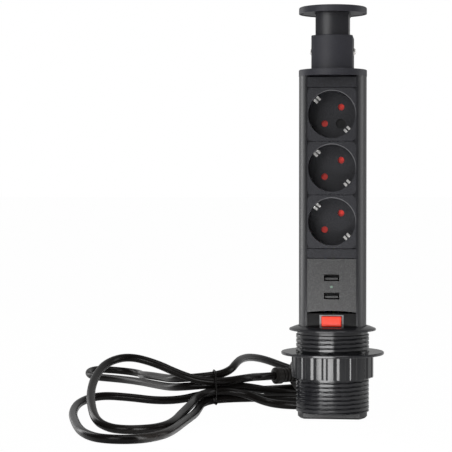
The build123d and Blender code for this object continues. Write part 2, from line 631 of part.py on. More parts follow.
# Lid: round cover with a rounded rim and a shallow recess below
with BuildPart() as lid:
    with BuildSketch(Plane.XY.offset(LID_Z)):
        Circle(LID_R)
    extrude(amount=LID_T)
    fillet(lid.edges().group_by(Axis.Z)[-1], LID_EDGE)
    with BuildSketch(Plane.XY.offset(LID_Z)):
        Circle(LID_RECESS_R)
    extrude(amount=LID_RECESS, mode=Mode.SUBTRACT)
    with BuildSketch(Plane.XY.offset(LID_Z)):
        with Locations((-LID_HOLE_AT, 0), (LID_HOLE_AT, 0)):
            Circle(LID_HOLE_R)
    extrude(amount=LID_T / 2, mode=Mode.SUBTRACT)
save(lid, "lid")


def spring(radius, wire_r, turns, height, plane):
    """Helical spring standing on a plane, its wire's middle starting one wire radius above it."""
    rise = height - 2 * wire_r
    with BuildPart() as coil:
        with BuildLine():
            path = Helix(pitch=rise / turns, height=rise, radius=radius,
                         center=plane.origin + plane.z_dir * wire_r, direction=plane.z_dir)
        with BuildSketch(Plane(origin=path @ 0, z_dir=path % 0)):
            RegularPolygon(wire_r, 6)
        sweep(path=path, is_frenet=True)
    return coil


push_spring = spring(SPRING_R, SPRING_WIRE_R, SPRING_TURNS, SPRING_TOP - WELL_BOTTOM - WELL_FLOOR,
                     Plane.XY.offset(WELL_BOTTOM + WELL_FLOOR))
save(push_spring, "push_spring")


# Plain panel pieces
def plain_plate(top, bottom):
    """Plain panel piece held by its shoulders."""
    with BuildPart() as plate:
        extrude(panel_plan(bottom, PANEL_BACK), amount=top - bottom)
        chamfer(plate.edges().filter_by(Axis.X).group_by(Axis.Y)[0], PLATE_EDGE)
    return plate


blank_plate_top = plain_plate(PANEL_TOP, PANEL_TOP - BLANK_H)
save(blank_plate_top, "blank_plate_top")
blank_strip = plain_plate(STRIP_TOP, STRIP_TOP - STRIP_H)
save(blank_strip, "blank_strip")
lower_plate = plain_plate(LOWER_TOP, FOOT_T + SEAT_FIT)
save(lower_plate, "lower_plate")


def socket_body(zc):
    """Socket insert: a square face, a round cup with guide flats and the shutter's pocket."""
    with BuildPart() as body:
        extrude(panel_plan(zc - SOCKET_H / 2, PANEL_BACK), amount=SOCKET_H)
        with BuildSketch(facing(CUP_BACK, zc)):
            Circle(CUP_R)
        extrude(amount=CUP_BACK - PANEL_BACK)
        with BuildSketch(facing(FLOOR_Y, zc)):
            Circle(RECESS_R)
        extrude(amount=RECESS_DEPTH, mode=Mode.SUBTRACT)
        # Four corners of the face, cut back at 45 degrees
        with BuildSketch(facing(FACE_Y + CORNER_DEPTH, zc)):
            with GridLocations(2 * FACE_HALF, SOCKET_H, 2, 2):
                Rectangle(CORNER * math.sqrt(2), CORNER * math.sqrt(2), rotation=45)
        extrude(amount=CORNER_DEPTH, mode=Mode.SUBTRACT)
        # Guide flats at both ends of the pin line, each split by a slot
        with BuildSketch(facing(FLOOR_Y, zc)):
            Circle(RECESS_R + CUP_WALL / 2)
            with Locations(Location((0, 0), 45)):
                Rectangle(2 * GUIDE_IN, 4 * RECESS_R, mode=Mode.SUBTRACT)
                Rectangle(4 * RECESS_R, GUIDE_SLOT, mode=Mode.SUBTRACT)
        extrude(amount=RECESS_DEPTH - GUIDE_SET_BACK)
        # Pocket and pin of the shutter
        with BuildSketch(facing(CUP_BACK, zc)):
            Circle(SHUTTER_POCKET_R)
            Circle(SHUTTER_PIN_R, mode=Mode.SUBTRACT)
        extrude(amount=SHUTTER_POCKET_T, mode=Mode.SUBTRACT)
        # Pin holes, and the slots of the earth clips through floor and cup
        with BuildSketch(facing(CUP_BACK, zc)):
            with Locations(Location((0, 0), 45)):
                with GridLocations(PIN_PITCH, 1, 2, 1):
                    Circle(PIN_HOLE_R)
        extrude(amount=CUP_BACK - FLOOR_Y, mode=Mode.SUBTRACT)
        with BuildSketch(facing(CUP_BACK, zc)):
            with Locations(Location((0, 0), 135)):
                slot_t = CUP_R + SEAT_FIT - CLIP_SLOT_IN
                with GridLocations(2 * CLIP_SLOT_IN + slot_t, 1, 2, 1):
                    Rectangle(slot_t, CLIP_SLOT_W)
        extrude(amount=CUP_BACK - PANEL_BACK, mode=Mode.SUBTRACT)
        if zc == SOCKET_Z[0]:
            with BuildSketch(facing(FLOOR_Y + BLIND_HOLE_DEPTH, zc)):
                with Locations(BLIND_HOLE_AT):
                    Circle(BLIND_HOLE_R)
            extrude(amount=BLIND_HOLE_DEPTH, mode=Mode.SUBTRACT)
    return body


def shutter(zc):
    """Two-armed shutter that turns on its pin and covers both pin holes."""
    with BuildPart() as piece:
        with BuildSketch(facing(POCKET_Y + SHUTTER_POCKET_T / 2 + SHUTTER_T / 2, zc)):
            with Locations(Location((0, 0), 45)):
                Rectangle(PIN_PITCH, SHUTTER_BAR)
                with GridLocations(PIN_PITCH, 1, 2, 1):
                    Circle(SHUTTER_DISC_R)
            Circle(SHUTTER_HUB_R)
            Circle(SHUTTER_PIN_R + BRAKE_FIT, mode=Mode.SUBTRACT)
        extrude(amount=SHUTTER_T)
    return piece


def contact_carrier(zc):
    """Round moulding behind the cup with a hole for each contact sleeve."""
    with BuildPart() as carrier:
        with BuildSketch(facing(CARRIER_BACK, zc)):
            Circle(CARRIER_R)
            with Locations(Location((0, 0), 45)):
                with GridLocations(PIN_PITCH, 1, 2, 1):
                    Circle(SLEEVE_R + SLEEVE_HOLE_FIT, mode=Mode.SUBTRACT)
        extrude(amount=CARRIER_T)
        chamfer(carrier.edges().group_by(Axis.Y)[-1].sort_by(SortBy.RADIUS)[-1], CARRIER_EDGE)
    return carrier


def earth_bracket(zc):
    """Bent strip across the insert's back, with a split sprung clip at each end."""
    with BuildPart() as bracket:
        for turn in (135, 315):
            out = (math.cos(math.radians(turn)), math.sin(math.radians(turn)))
            side = Plane(origin=(0, 0, zc), x_dir=(out[0], 0, out[1]), z_dir=(-out[1], 0, out[0]))
            depth = 1 if side.y_dir.Y > 0 else -1
            with BuildSketch(side):
                with BuildLine():
                    half = CLIP_T / 2
                    Polyline((0, depth * (STRAP_Y + EARTH_T)),
                             (CLIP_LEG_R + half, depth * (STRAP_Y + EARTH_T)),
                             (CLIP_LEG_R + half, depth * CLIP_ROOT_Y),
                             (CLIP_WAIST[0] + half, depth * CLIP_WAIST[1]),
                             (CLIP_TIP[0] - half, depth * CLIP_TIP[1]),
                             (CLIP_TIP[0] - 3 * half, depth * CLIP_TIP[1]),
                             (CLIP_WAIST[0] - half, depth * CLIP_WAIST[1]),
                             (CLIP_LEG_R - half, depth * CLIP_ROOT_Y),
                             (CLIP_LEG_R - half, depth * STRAP_Y),
                             (0, depth * STRAP_Y), close=True)
                make_face()
            extrude(amount=CLIP_W / 2, both=True)
        with BuildSketch(facing(CLIP_ROOT_Y, zc)):
            with Locations(Location((0, 0), 135)):
                Rectangle(4 * RECESS_R, CLIP_SPLIT)
        extrude(amount=CLIP_ROOT_Y - FACE_Y, mode=Mode.SUBTRACT)
    return bracket


for number, zc in enumerate(SOCKET_Z, 1):
    save(socket_body(zc), "socket_body_" + str(number))
    save(shutter(zc), "shutter_" + str(number))
    save(contact_carrier(zc), "contact_carrier_" + str(number))
    save(earth_bracket(zc), "earth_bracket_" + str(number))

# Rails: strips behind the carriers, with a sleeve for each pin
PIN_OFFSET = PIN_PITCH / 2 * math.cos(math.radians(45))
RAIL_BOTTOM = SOCKET_Z[-1] - PIN_OFFSET - RAIL_W
RAIL_TOP = SOCKET_Z[0] + PIN_OFFSET + RAIL_W


def contact_rail(side):
    """Live (+1) or neutral (-1) rail with its three sleeves."""
    with BuildPart() as rail:
        with BuildSketch(facing(RAIL_Y + RAIL_T)):
            with Locations((side * PIN_OFFSET, (RAIL_BOTTOM + RAIL_TOP) / 2)):
                Rectangle(RAIL_W, RAIL_TOP - RAIL_BOTTOM)
        extrude(amount=RAIL_T)
        places = [(side * PIN_OFFSET, zc + side * PIN_OFFSET) for zc in SOCKET_Z]
        with BuildSketch(facing(RAIL_Y)):
            with Locations(*places):
                Circle(STEM_R)
        extrude(amount=RAIL_Y - SLEEVE_FRONT - SLEEVE_LENGTH)
        with BuildSketch(facing(SLEEVE_FRONT + SLEEVE_LENGTH)):
            with Locations(*places):
                Circle(SLEEVE_R)
        extrude(amount=SLEEVE_LENGTH)
        with BuildSketch(facing(SLEEVE_FRONT + SLEEVE_LENGTH - RAIL_T)):
            with Locations(*places):
                Circle(SLEEVE_BORE_R)
        extrude(amount=SLEEVE_LENGTH - RAIL_T, mode=Mode.SUBTRACT)
    return rail


save(contact_rail(1), "live_rail")
save(contact_rail(-1), "neutral_rail")

with BuildPart() as earth_rail:
    with BuildSketch(facing(STRAP_Y + 2 * EARTH_T)):
        with Locations((0, (RAIL_BOTTOM + RAIL_TOP) / 2)):
            Rectangle(EARTH_RAIL_W, RAIL_TOP - RAIL_BOTTOM)
    extrude(amount=EARTH_T)
save(earth_rail, "earth_rail")


def wire(start, end_x):
    """Insulated wire from a rail's lower end to the strain relief's inner end."""
    with BuildPart() as strand:
        with BuildLine() as path:
            FilletPolyline(start, (start[0], start[1], WIRE_TURN_Z), (end_x, WIRE_LOW_Y, WIRE_LOW_Z),
                           (end_x, WIRE_LOW_Y, WIRE_END_Z), (end_x, RELIEF_INNER_Y, WIRE_END_Z),
                           radius=WIRE_BENDS)
        with BuildSketch(Plane(origin=start, z_dir=(0, 0, -1))):
            Circle(WIRE_R)
        sweep(path=path.wire())
    return strand


save(wire((PIN_OFFSET, RAIL_Y + RAIL_T / 2, RAIL_BOTTOM), WIRE_PITCH), "live_wire")
save(wire((-PIN_OFFSET, RAIL_Y + RAIL_T / 2, RAIL_BOTTOM), -WIRE_PITCH), "neutral_wire")
save(wire((0, STRAP_Y + 1.5 * EARTH_T, RAIL_BOTTOM), 0), "earth_wire")

# USB plate: two port openings, a lamp hole, posts for the board and an arched lower edge
PORT_Z = [USB_TOP - drop for drop in PORT_DROPS]
LAMP_Z = (PORT_Z[0] + PORT_Z[1]) / 2
SHELL_FRONT = FACE_Y + PORT_SET_BACK + SEAT_FIT
SHELL_BACK = SHELL_FRONT + PORT_DEPTH
BOARD_Y = SHELL_BACK + SEAT_FIT
POSTS = [(x, z) for x in (-POST_X, POST_X) for z in (LAMP_Z - POST_RISE, LAMP_Z + POST_RISE)]
with BuildPart() as usb_plate:
    extrude(panel_plan(USB_BOTTOM, PANEL_BACK), amount=USB_H)
    chamfer(usb_plate.edges().filter_by(Axis.X).group_by(Axis.Y)[0].sort_by(Axis.Z)[-1], PLATE_EDGE)
    with BuildSketch(facing(BOARD_Y - SEAT_FIT)):
        with Locations(*POSTS):
            Circle(BOARD_POST_R)
    extrude(amount=BOARD_Y - SEAT_FIT - PANEL_BACK)
    with BuildSketch(facing(PANEL_BACK)):
        with BuildLine():
            ThreePointArc((-FACE_HALF, USB_BOTTOM), (0, USB_BOTTOM + ARCH), (FACE_HALF, USB_BOTTOM))
            Line((FACE_HALF, USB_BOTTOM), (-FACE_HALF, USB_BOTTOM))
        make_face()
    extrude(amount=PANEL_BACK - FACE_Y, mode=Mode.SUBTRACT)
    with BuildSketch(facing(PANEL_BACK)):
        with Locations(*[(0, z) for z in PORT_Z]):
            Rectangle(PORT_W, PORT_H)
        with Locations((0, LAMP_Z)):
            Circle(LAMP_R + BRAKE_FIT)
    extrude(amount=PANEL_BACK - FACE_Y, mode=Mode.SUBTRACT)
    with BuildSketch(facing(PANEL_BACK)):
        with Locations(*[(0, z) for z in PORT_Z]):
            Rectangle(PORT_W + 2 * (PORT_WALL + SEAT_FIT), PORT_H + 2 * (PORT_WALL + SEAT_FIT))
    extrude(amount=PANEL_BACK - FACE_Y - PORT_SET_BACK, mode=Mode.SUBTRACT)
save(usb_plate, "usb_plate")


def usb_shell(z):
    """Folded metal shell of a port, open at the front."""
    with BuildPart() as shell:
        with BuildSketch(facing(SHELL_BACK, z)):
            Rectangle(PORT_W + 2 * PORT_WALL, PORT_H + 2 * PORT_WALL)
            Rectangle(PORT_W, PORT_H, mode=Mode.SUBTRACT)
        extrude(amount=PORT_DEPTH)
    return shell


def usb_tongue(z):
    """Tongue with its base that closes the shell's back."""
    with BuildPart() as tongue:
        with BuildSketch(facing(SHELL_BACK, z)):
            Rectangle(PORT_W - 2 * BRAKE_FIT, PORT_H - 2 * BRAKE_FIT)
        extrude(amount=TONGUE_BASE_T)
        with BuildSketch(facing(SHELL_BACK - TONGUE_BASE_T, z)):
            with Locations((0, -TONGUE_DROP)):
                Rectangle(TONGUE_W, TONGUE_T)
        extrude(amount=TONGUE_L)
    return tongue


for number, z in enumerate(PORT_Z, 1):
    save(usb_shell(z), "usb_port_" + str(number))
    save(usb_tongue(z), "usb_tongue_" + str(number))

with BuildPart() as led_lens:
    with BuildSketch(facing(BOARD_Y - SEAT_FIT, LAMP_Z)):
        Circle(LAMP_R)
    extrude(amount=BOARD_Y - SEAT_FIT - FACE_Y)
save(led_lens, "led_lens")

with BuildPart() as usb_board:
    with BuildSketch(facing(BOARD_Y + BOARD_T, LAMP_Z)):
        Rectangle(BOARD_W, BOARD_H)
        with Locations(*[(x, z - LAMP_Z) for x, z in POSTS]):
            Circle(BOARD_POST_R / 2, mode=Mode.SUBTRACT)
    extrude(amount=BOARD_T)
save(usb_board, "usb_board")

with BuildPart() as usb_converter:
    with BuildSketch(facing(BOARD_Y + BOARD_T + CONVERTER_T, LAMP_Z)):
        RectangleRounded(CONVERTER_W, CONVERTER_H, CONVERTER_CORNER)
    extrude(amount=CONVERTER_T)
save(usb_converter, "usb_converter")

# Latch block with the button's cavity, the grey frame, the button and its spring
FRAME_BACK = FACE_Y + FRAME_T
with BuildPart() as latch_block:
    extrude(panel_plan(LATCH_BOTTOM, LATCH_BACK), amount=LATCH_H)
    with BuildSketch(facing(FRAME_BACK, BUTTON_Z)):
        Rectangle(FRAME_W + 2 * SEAT_FIT, FRAME_H + 2 * SEAT_FIT)
    extrude(amount=FRAME_T, mode=Mode.SUBTRACT)
    with BuildSketch(facing(CAVITY_BACK, BUTTON_Z)):
        room = 2 * (BUTTON_FLANGE + BUTTON_CLEAR)
        Rectangle(BUTTON_W + room, BUTTON_H + room)
    extrude(amount=CAVITY_BACK - FRAME_BACK, mode=Mode.SUBTRACT)
save(latch_block, "latch_block")

with BuildPart() as button_frame:
    with BuildSketch(facing(FRAME_BACK, BUTTON_Z)):
        Rectangle(FRAME_W, FRAME_H)
        Rectangle(BUTTON_W + 2 * BUTTON_CLEAR, BUTTON_H + 2 * BUTTON_CLEAR, mode=Mode.SUBTRACT)
    extrude(amount=FRAME_T + FRAME_PROUD)
save(button_frame, "button_frame")

with BuildPart() as release_button:
    flange_front = FRAME_BACK + SEAT_FIT
    with BuildSketch(facing(flange_front + BUTTON_FLANGE_T, BUTTON_Z)):
        Rectangle(BUTTON_W + 2 * BUTTON_FLANGE, BUTTON_H + 2 * BUTTON_FLANGE)
    extrude(amount=BUTTON_FLANGE_T)
    with BuildSketch(facing(flange_front, BUTTON_Z)):
        Rectangle(BUTTON_W, BUTTON_H)
    extrude(amount=flange_front - FACE_Y + BUTTON_PROUD)
    fillet(release_button.faces().sort_by(Axis.Y)[0].edges(), BUTTON_BEVEL)
save(release_button, "release_button")

spring_y = flange_front + BUTTON_FLANGE_T
button_spring = spring(BUTTON_SPRING_R, BUTTON_SPRING_WIRE_R, BUTTON_SPRING_TURNS,
                       CAVITY_BACK - BUTTON_TRAVEL - BUTTON_CLEAR - spring_y,
                       Plane(origin=(0, spring_y, BUTTON_Z), x_dir=(1, 0, 0), z_dir=(0, 1, 0)))
save(button_spring, "button_spring")


# Cord: straight runs joined by tangent arcs, as large as the runs allow
def corner_radii(points):
    """Radius of the arc at each inner point of the route, and its turn in degrees."""
    radii = []
    for a, b, c in zip(points, points[1:], points[2:]):
        before = Vector(b) - Vector(a)
        after = Vector(c) - Vector(b)
        turn = before.get_angle(after)
        radii.append(0.45 * min(before.length, after.length) / math.tan(math.radians(turn) / 2))
    return radii


def middle(run):
    """Point halfway along a run of the route."""
    return tuple((Vector(ROUTE[run]) + Vector(ROUTE[run + 1])) * 0.5)


def cord_tube(name, points, radii):
    """Round tube along the points; prints its length and compares its volume."""
    with BuildPart() as tube:
        with BuildLine() as path:
            FilletPolyline(*points, radius=radii)
        with BuildSketch(Plane(origin=points[0], z_dir=Vector(points[1]) - Vector(points[0]))):
            Circle(CORD_R)
        sweep(path=path.wire())
    length = path.wire().length
    expected = math.pi * CORD_R ** 2 * length
    print(name, "length", round(length, 1), "volume ratio", round(tube.part.volume / expected, 4),
          "smallest radius", round(min(radii), 1))
    save(tube, name)
    return path.wire()


def least_gap(lines):
    """Least gap between strands of the cord, measured on points 2 mm apart."""
    places = []
    along = 0.0
    for line in lines:
        for edge in line.edges():
            count = max(1, round(edge.length / 2))
            for i in range(count):
                places.append((along + edge.length * i / count, edge.position_at(i / count)))
            along += edge.length
    least = math.inf
    for i, (here, p) in enumerate(places):
        for there, q in places[i + 1:]:
            if there - here > 10 * CORD_R:
                least = min(least, (p.X - q.X) ** 2 + (p.Y - q.Y) ** 2 + (p.Z - q.Z) ** 2)
    return math.sqrt(least) - 2 * CORD_R


RADII = corner_radii(ROUTE)
print("cord radii", [round(radius, 1) for radius in RADII])
plug_end = middle(PLUG_SIDE_RUN)
tower_end = middle(TOWER_SIDE_RUN)
CORD_LINES = [
    cord_tube("cord_to_plug", ROUTE[:PLUG_SIDE_RUN + 1] + [plug_end], RADII[:PLUG_SIDE_RUN]),
    cord_tube("cord_hank", [plug_end] + ROUTE[PLUG_SIDE_RUN + 1:TOWER_SIDE_RUN + 1] + [tower_end],
              RADII[PLUG_SIDE_RUN:TOWER_SIDE_RUN]),
    cord_tube("cord_to_tower", [tower_end] + ROUTE[TOWER_SIDE_RUN + 1:], RADII[TOWER_SIDE_RUN:]),
]
print("cord length", round(sum(line.length for line in CORD_LINES), 1))
print("least gap", round(least_gap(CORD_LINES), 2))

# Tie round the bundle
with BuildPart() as cord_tie:
    heading = math.radians(TIE_HEADING)
    along = (math.cos(heading), math.sin(heading), 0)
    across = (-math.sin(heading), math.cos(heading), 0)
    with BuildSketch(Plane(origin=TIE_AT, x_dir=across, z_dir=along)):
        RectangleRounded(TIE_INSIDE[0] + 2 * TIE_T, TIE_INSIDE[1] + 2 * TIE_T, CORD_R)
        RectangleRounded(TIE_INSIDE[0], TIE_INSIDE[1], CORD_R - TIE_T, mode=Mode.SUBTRACT)
    extrude(amount=TIE_W / 2, both=True)
save(cord_tie, "cord_tie")

# Plug on the cord's far end, lying on the worktop, its axis along the cord's first run
PLUG_AXIS = (Vector(ROUTE[0]) - Vector(ROUTE[1])).normalized()
PLUG_SIDE = Plane(origin=ROUTE[0], x_dir=PLUG_AXIS, z_dir=PLUG_AXIS.cross(Vector(0, 0, 1)))
FACE_U = BOOT_L + PLUG_L


def plug_plane(u):
    """Plane across the plug's axis at the distance u from the cord, facing along the axis."""
    return Plane(origin=Vector(ROUTE[0]) + PLUG_AXIS * u, x_dir=PLUG_SIDE.z_dir, z_dir=PLUG_AXIS)


with BuildPart() as plug_boot:
    with BuildSketch(PLUG_SIDE):
        rib_pitch = (BOOT_L - BOOT_RING_L) / BOOT_RIBS
        with BuildLine():
            outline = [(0, 0), (0, CORD_R + 1.4), (1.0, BOOT_RING_R), (BOOT_RING_L, BOOT_RING_R)]
            for i in range(BOOT_RIBS):
                u = BOOT_RING_L + i * rib_pitch
                outline += [(u, BOOT_R - 1.0), (u + rib_pitch * 0.4, BOOT_R - 1.0),
                            (u + rib_pitch * 0.4, BOOT_R), (u + rib_pitch, BOOT_R)]
            outline.append((BOOT_L, 0))
            Polyline(*outline, close=True)
        make_face()
    revolve(axis=Axis(ROUTE[0], PLUG_AXIS))
save(plug_boot, "plug_boot")

with BuildPart() as plug_body:
    neck = (BOOT_L, PLUG_NECK_R)
    grip_start = (BOOT_L + PLUG_RISE_L, PLUG_R)
    grip_end = (BOOT_L + PLUG_RISE_L + PLUG_GRIP_L, PLUG_R)
    with BuildSketch(PLUG_SIDE):
        with BuildLine():
            Polyline(grip_end, (FACE_U - PLUG_FACE_L, PLUG_FACE_R), (FACE_U - PLUG_EDGE, PLUG_FACE_R),
                     (FACE_U, PLUG_FACE_R - PLUG_EDGE), (FACE_U, 0), (BOOT_L, 0), neck)
            SagittaArc(neck, grip_start, PLUG_RISE_L / 6)
            Line(grip_start, grip_end)
        make_face()
    revolve(axis=Axis(ROUTE[0], PLUG_AXIS))
    # Guide grooves beside the pins and the seats of the earth strips across from them
    with BuildSketch(plug_plane(FACE_U - PLUG_FACE_L)):
        with GridLocations(2 * PLUG_FACE_R, 1, 2, 1):
            Rectangle(2 * (PLUG_FACE_R - GUIDE_IN + 0.4), GUIDE_SLOT + 6)
        with GridLocations(1, 2 * PLUG_FACE_R, 1, 2):
            Rectangle(STRIP_SIDE + 0.2, 3.0)
    extrude(amount=PLUG_L, mode=Mode.SUBTRACT)
    with BuildSketch(plug_plane(FACE_U - PIN_L / 2)):
        with GridLocations(PIN_PITCH, 1, 2, 1):
            Circle(PIN_R + BRAKE_FIT)
    extrude(amount=PIN_L, mode=Mode.SUBTRACT)
save(plug_body, "plug_body")

with BuildPart() as plug_pins:
    with BuildSketch(plug_plane(FACE_U - PIN_L / 2)):
        with GridLocations(PIN_PITCH, 1, 2, 1):
            Circle(PIN_R)
    extrude(amount=PIN_L * 1.5)
    pin_tips = plug_pins.faces().filter_by(GeomType.PLANE).group_by(lambda face: face.center().Y)[-1]
    fillet(pin_tips.edges(), PIN_TIP_R)
save(plug_pins, "plug_pins")

with BuildPart() as plug_earth_strips:
    with BuildSketch(plug_plane(FACE_U - PLUG_FACE_L + 2 * SEAT_FIT)):
        with GridLocations(1, 2 * (PLUG_FACE_R - 0.9), 1, 2):
            Rectangle(STRIP_SIDE, 1.0)
    extrude(amount=PLUG_FACE_L - 2 * SEAT_FIT)
save(plug_earth_strips, "plug_earth_strips")
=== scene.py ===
# %% [markdown]
# # A pop-up socket tower
# The object is a socket tower for a worktop, photographed pulled up and standing on its foot.
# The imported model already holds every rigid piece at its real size, so this file only adds what
# a plain solid can't show: the cord's soft line, the thread, small metal details, the finishes,
# and the light of a studio. Loading the model first keeps all of it in one frame, in metres.

# %% Load the frame
import math
import bmesh
import bpy
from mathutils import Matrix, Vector


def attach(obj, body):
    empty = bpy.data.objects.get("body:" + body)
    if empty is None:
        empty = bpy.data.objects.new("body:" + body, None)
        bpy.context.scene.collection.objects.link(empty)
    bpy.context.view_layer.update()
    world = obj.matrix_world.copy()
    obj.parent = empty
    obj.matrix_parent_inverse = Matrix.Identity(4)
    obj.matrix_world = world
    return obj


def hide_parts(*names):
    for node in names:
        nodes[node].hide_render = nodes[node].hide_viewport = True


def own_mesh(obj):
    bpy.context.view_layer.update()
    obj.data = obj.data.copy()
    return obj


MM = 0.001
MM_IN_A_METRE = 1000.0

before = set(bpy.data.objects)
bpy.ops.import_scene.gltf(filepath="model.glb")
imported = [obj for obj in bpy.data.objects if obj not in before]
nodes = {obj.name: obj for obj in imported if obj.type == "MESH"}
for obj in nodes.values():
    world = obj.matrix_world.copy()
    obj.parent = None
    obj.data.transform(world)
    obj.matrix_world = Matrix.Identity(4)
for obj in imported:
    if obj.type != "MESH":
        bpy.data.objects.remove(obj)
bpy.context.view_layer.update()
print("pieces from the model:", len(nodes))

# %% [markdown]
# ## The camera
# The picture was taken from the front with a long lens, a little to the right of the tower and
# about halfway up, so that the lid is seen from below and the foot from above. A long lens far
# away keeps upright lines upright. The place and the focal length come from sizes that are known
# on the real object: the sockets' recesses, the flange and the lid.

# %% Camera
CAMERA_AT = Vector((0.0636, -1.3544, 0.1846))
CAMERA_HEADING = math.radians(6.388)
CAMERA_PITCH = math.radians(1.18)
IMAGE_SIDE = 452
FOCAL_IN_PIXELS = 1650

camera_data = bpy.data.cameras.new("photo_camera")
camera_data.sensor_width = 36.0
camera_data.lens = FOCAL_IN_PIXELS / IMAGE_SIDE * camera_data.sensor_width
camera = bpy.data.objects.new("photo_camera", camera_data)
level = Vector((-math.sin(CAMERA_HEADING), math.cos(CAMERA_HEADING), 0)) * math.cos(CAMERA_PITCH)
looks_along = level - Vector((0, 0, math.sin(CAMERA_PITCH)))
camera.location = CAMERA_AT
camera.rotation_euler = looks_along.to_track_quat("-Z", "Y").to_euler()
bpy.context.collection.objects.link(camera)
bpy.context.scene.camera = camera
print("lens", round(camera_data.lens, 1), "mm")

# %% [markdown]
# ## The cord
# The mains lead is about two and a half metres of round rubber-like cable, folded into a bundle
# with loops at both ends and tied once. A real lead never has a sharp corner, so it is one smooth
# NURBS curve: its control points lie along the route, and the curve passes near them as a stiff
# cable would. It keeps to the route of the model's plain tube, moved by up to 12 mm where the
# photograph shows a loop further out or in.

# %% Cord
CORD_RADIUS = 0.0035
CORD_POINTS = [
    (0, 0.052, 0.006), (0, 0.0735, 0.006), (-0.0055, 0.094, 0.0049), (-0.0201, 0.1074, 0.0042),
    (-0.0415, 0.1101, 0.0049), (-0.0617, 0.1018, 0.0085), (-0.0793, 0.0875, 0.0133),
    (-0.0974, 0.0765, 0.016), (-0.1165, 0.0715, 0.0161), (-0.1312, 0.0742, 0.0143),
    (-0.1431, 0.0838, 0.0125), (-0.1531, 0.1027, 0.0107), (-0.1682, 0.135, 0.0085),
    (-0.1888, 0.1751, 0.0064), (-0.2147, 0.2083, 0.0048), (-0.2444, 0.2295, 0.0041),
    (-0.2538, 0.2483, 0.0062), (-0.2493, 0.266, 0.0077), (-0.2345, 0.2766, 0.006),
    (-0.2156, 0.2752, 0.0046), (-0.2018, 0.2606, 0.0042), (-0.1977, 0.2319, 0.0067),
    (-0.1907, 0.198, 0.0103), (-0.1787, 0.1621, 0.0139), (-0.1616, 0.1265, 0.0163),
    (-0.1521, 0.1014, 0.0183), (-0.1432, 0.0841, 0.0199), (-0.131, 0.0738, 0.0218),
    (-0.1151, 0.0703, 0.0237), (-0.1009, 0.0767, 0.0252), (-0.0932, 0.0868, 0.0283),
    (-0.0906, 0.1028, 0.0323), (-0.0887, 0.1286, 0.0337), (-0.0834, 0.1577, 0.0326),
    (-0.0726, 0.1867, 0.0277), (-0.0559, 0.211, 0.0183), (-0.0368, 0.2293, 0.01),
    (-0.0172, 0.2412, 0.005), (0.003, 0.2362, 0.0036), (0.0134, 0.2182, 0.0036),
    (0.008, 0.1981, 0.0036),
    (-0.0107, 0.1855, 0.0036), (-0.0362, 0.1713, 0.0036), (-0.0578, 0.1506, 0.0042),
    (-0.0705, 0.1246, 0.0064), (-0.0825, 0.0975, 0.0075), (-0.0973, 0.0768, 0.0085),
    (-0.1161, 0.0693, 0.0084), (-0.1335, 0.0585, 0.0047), (-0.1534, 0.0482, 0.0049),
    (-0.176, 0.0412, 0.0084), (-0.1998, 0.0313, 0.011), (-0.2134, 0.0081, 0.0082),
    (-0.2109, -0.0324, 0.0047), (-0.1976, -0.0853, 0.0039), (-0.1817, -0.1396, 0.0046),
    (-0.168, -0.1593, 0.0036), (-0.1542, -0.1665, 0.0036), (-0.1401, -0.1659, 0.0036),
    (-0.1269, -0.1573, 0.0036), (-0.1154, -0.1364, 0.0045), (-0.1129, -0.0694, 0.0042),
    (-0.111, -0.0229, 0.0036), (-0.1124, 0.0121, 0.0036), (-0.1143, 0.0445, 0.0036),
    (-0.108, 0.0628, 0.0043), (-0.0929, 0.0727, 0.0046), (-0.0685, 0.0867, 0.0038),
    (-0.0453, 0.0933, 0.0036), (-0.0214, 0.0922, 0.0036), (-0.0073, 0.0757, 0.0036),
    (-0.0082, 0.0542, 0.0036), (-0.0246, 0.0395, 0.0036), (-0.0463, 0.042, 0.0036),
    (-0.0619, 0.0583, 0.0042), (-0.0788, 0.0699, 0.0094), (-0.0956, 0.0695, 0.0117),
    (-0.1091, 0.0587, 0.0117), (-0.1171, 0.0351, 0.0107), (-0.1155, -0.0074, 0.01),
    (-0.1192, -0.0407, 0.0064), (-0.1205, -0.0824, 0.0045), (-0.1281, -0.1043, 0.0036),
    (-0.1394, -0.1149, 0.0036), (-0.1522, -0.118, 0.0036), (-0.1654, -0.1137, 0.0042),
    (-0.1778, -0.1011, 0.0076), (-0.188, -0.0685, 0.0144), (-0.1962, -0.0288, 0.0231),
    (-0.1984, 0.008, 0.032), (-0.1943, 0.0386, 0.0392), (-0.1795, 0.0592, 0.0419),
    (-0.1574, 0.0653, 0.0356), (-0.1349, 0.0627, 0.026), (-0.1148, 0.0643, 0.0198),
    (-0.0956, 0.0699, 0.0199), (-0.082, 0.0809, 0.0212), (-0.0751, 0.0957, 0.0209),
    (-0.0689, 0.1117, 0.0195), (-0.0578, 0.1208, 0.0195),
]


def smooth_curve(name, points, radius, order=3):
    """One open NURBS curve through space, as thick as a cable."""
    data = bpy.data.curves.new(name, "CURVE")
    data.dimensions = "3D"
    data.resolution_u = 10
    data.bevel_depth = 1.0
    data.bevel_resolution = 6
    data.use_fill_caps = True
    spline = data.splines.new("NURBS")
    spline.points.add(len(points) - 1)
    for point, place in zip(spline.points, points):
        point.co = (*place, 1.0)
        point.radius = radius
    spline.order_u = order
    spline.use_endpoint_u = True
    piece = bpy.data.objects.new(name, data)
    bpy.context.collection.objects.link(piece)
    return piece


mains_cord = smooth_curve("mains_cord", CORD_POINTS, CORD_RADIUS)
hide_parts("cord_to_tower", "cord_hank", "cord_to_plug")
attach(mains_cord, "tower")
print("cord control points:", len(CORD_POINTS))

# %% [markdown]
# ## The tie
# A thin plastic-covered wire holds the bundle together. It is bent round all the strands, its ends
# cross at the lower front, and its short tails stand off. A curve of its own, with tight but
# rounded corners, gives the look of bent wire better than a band would.

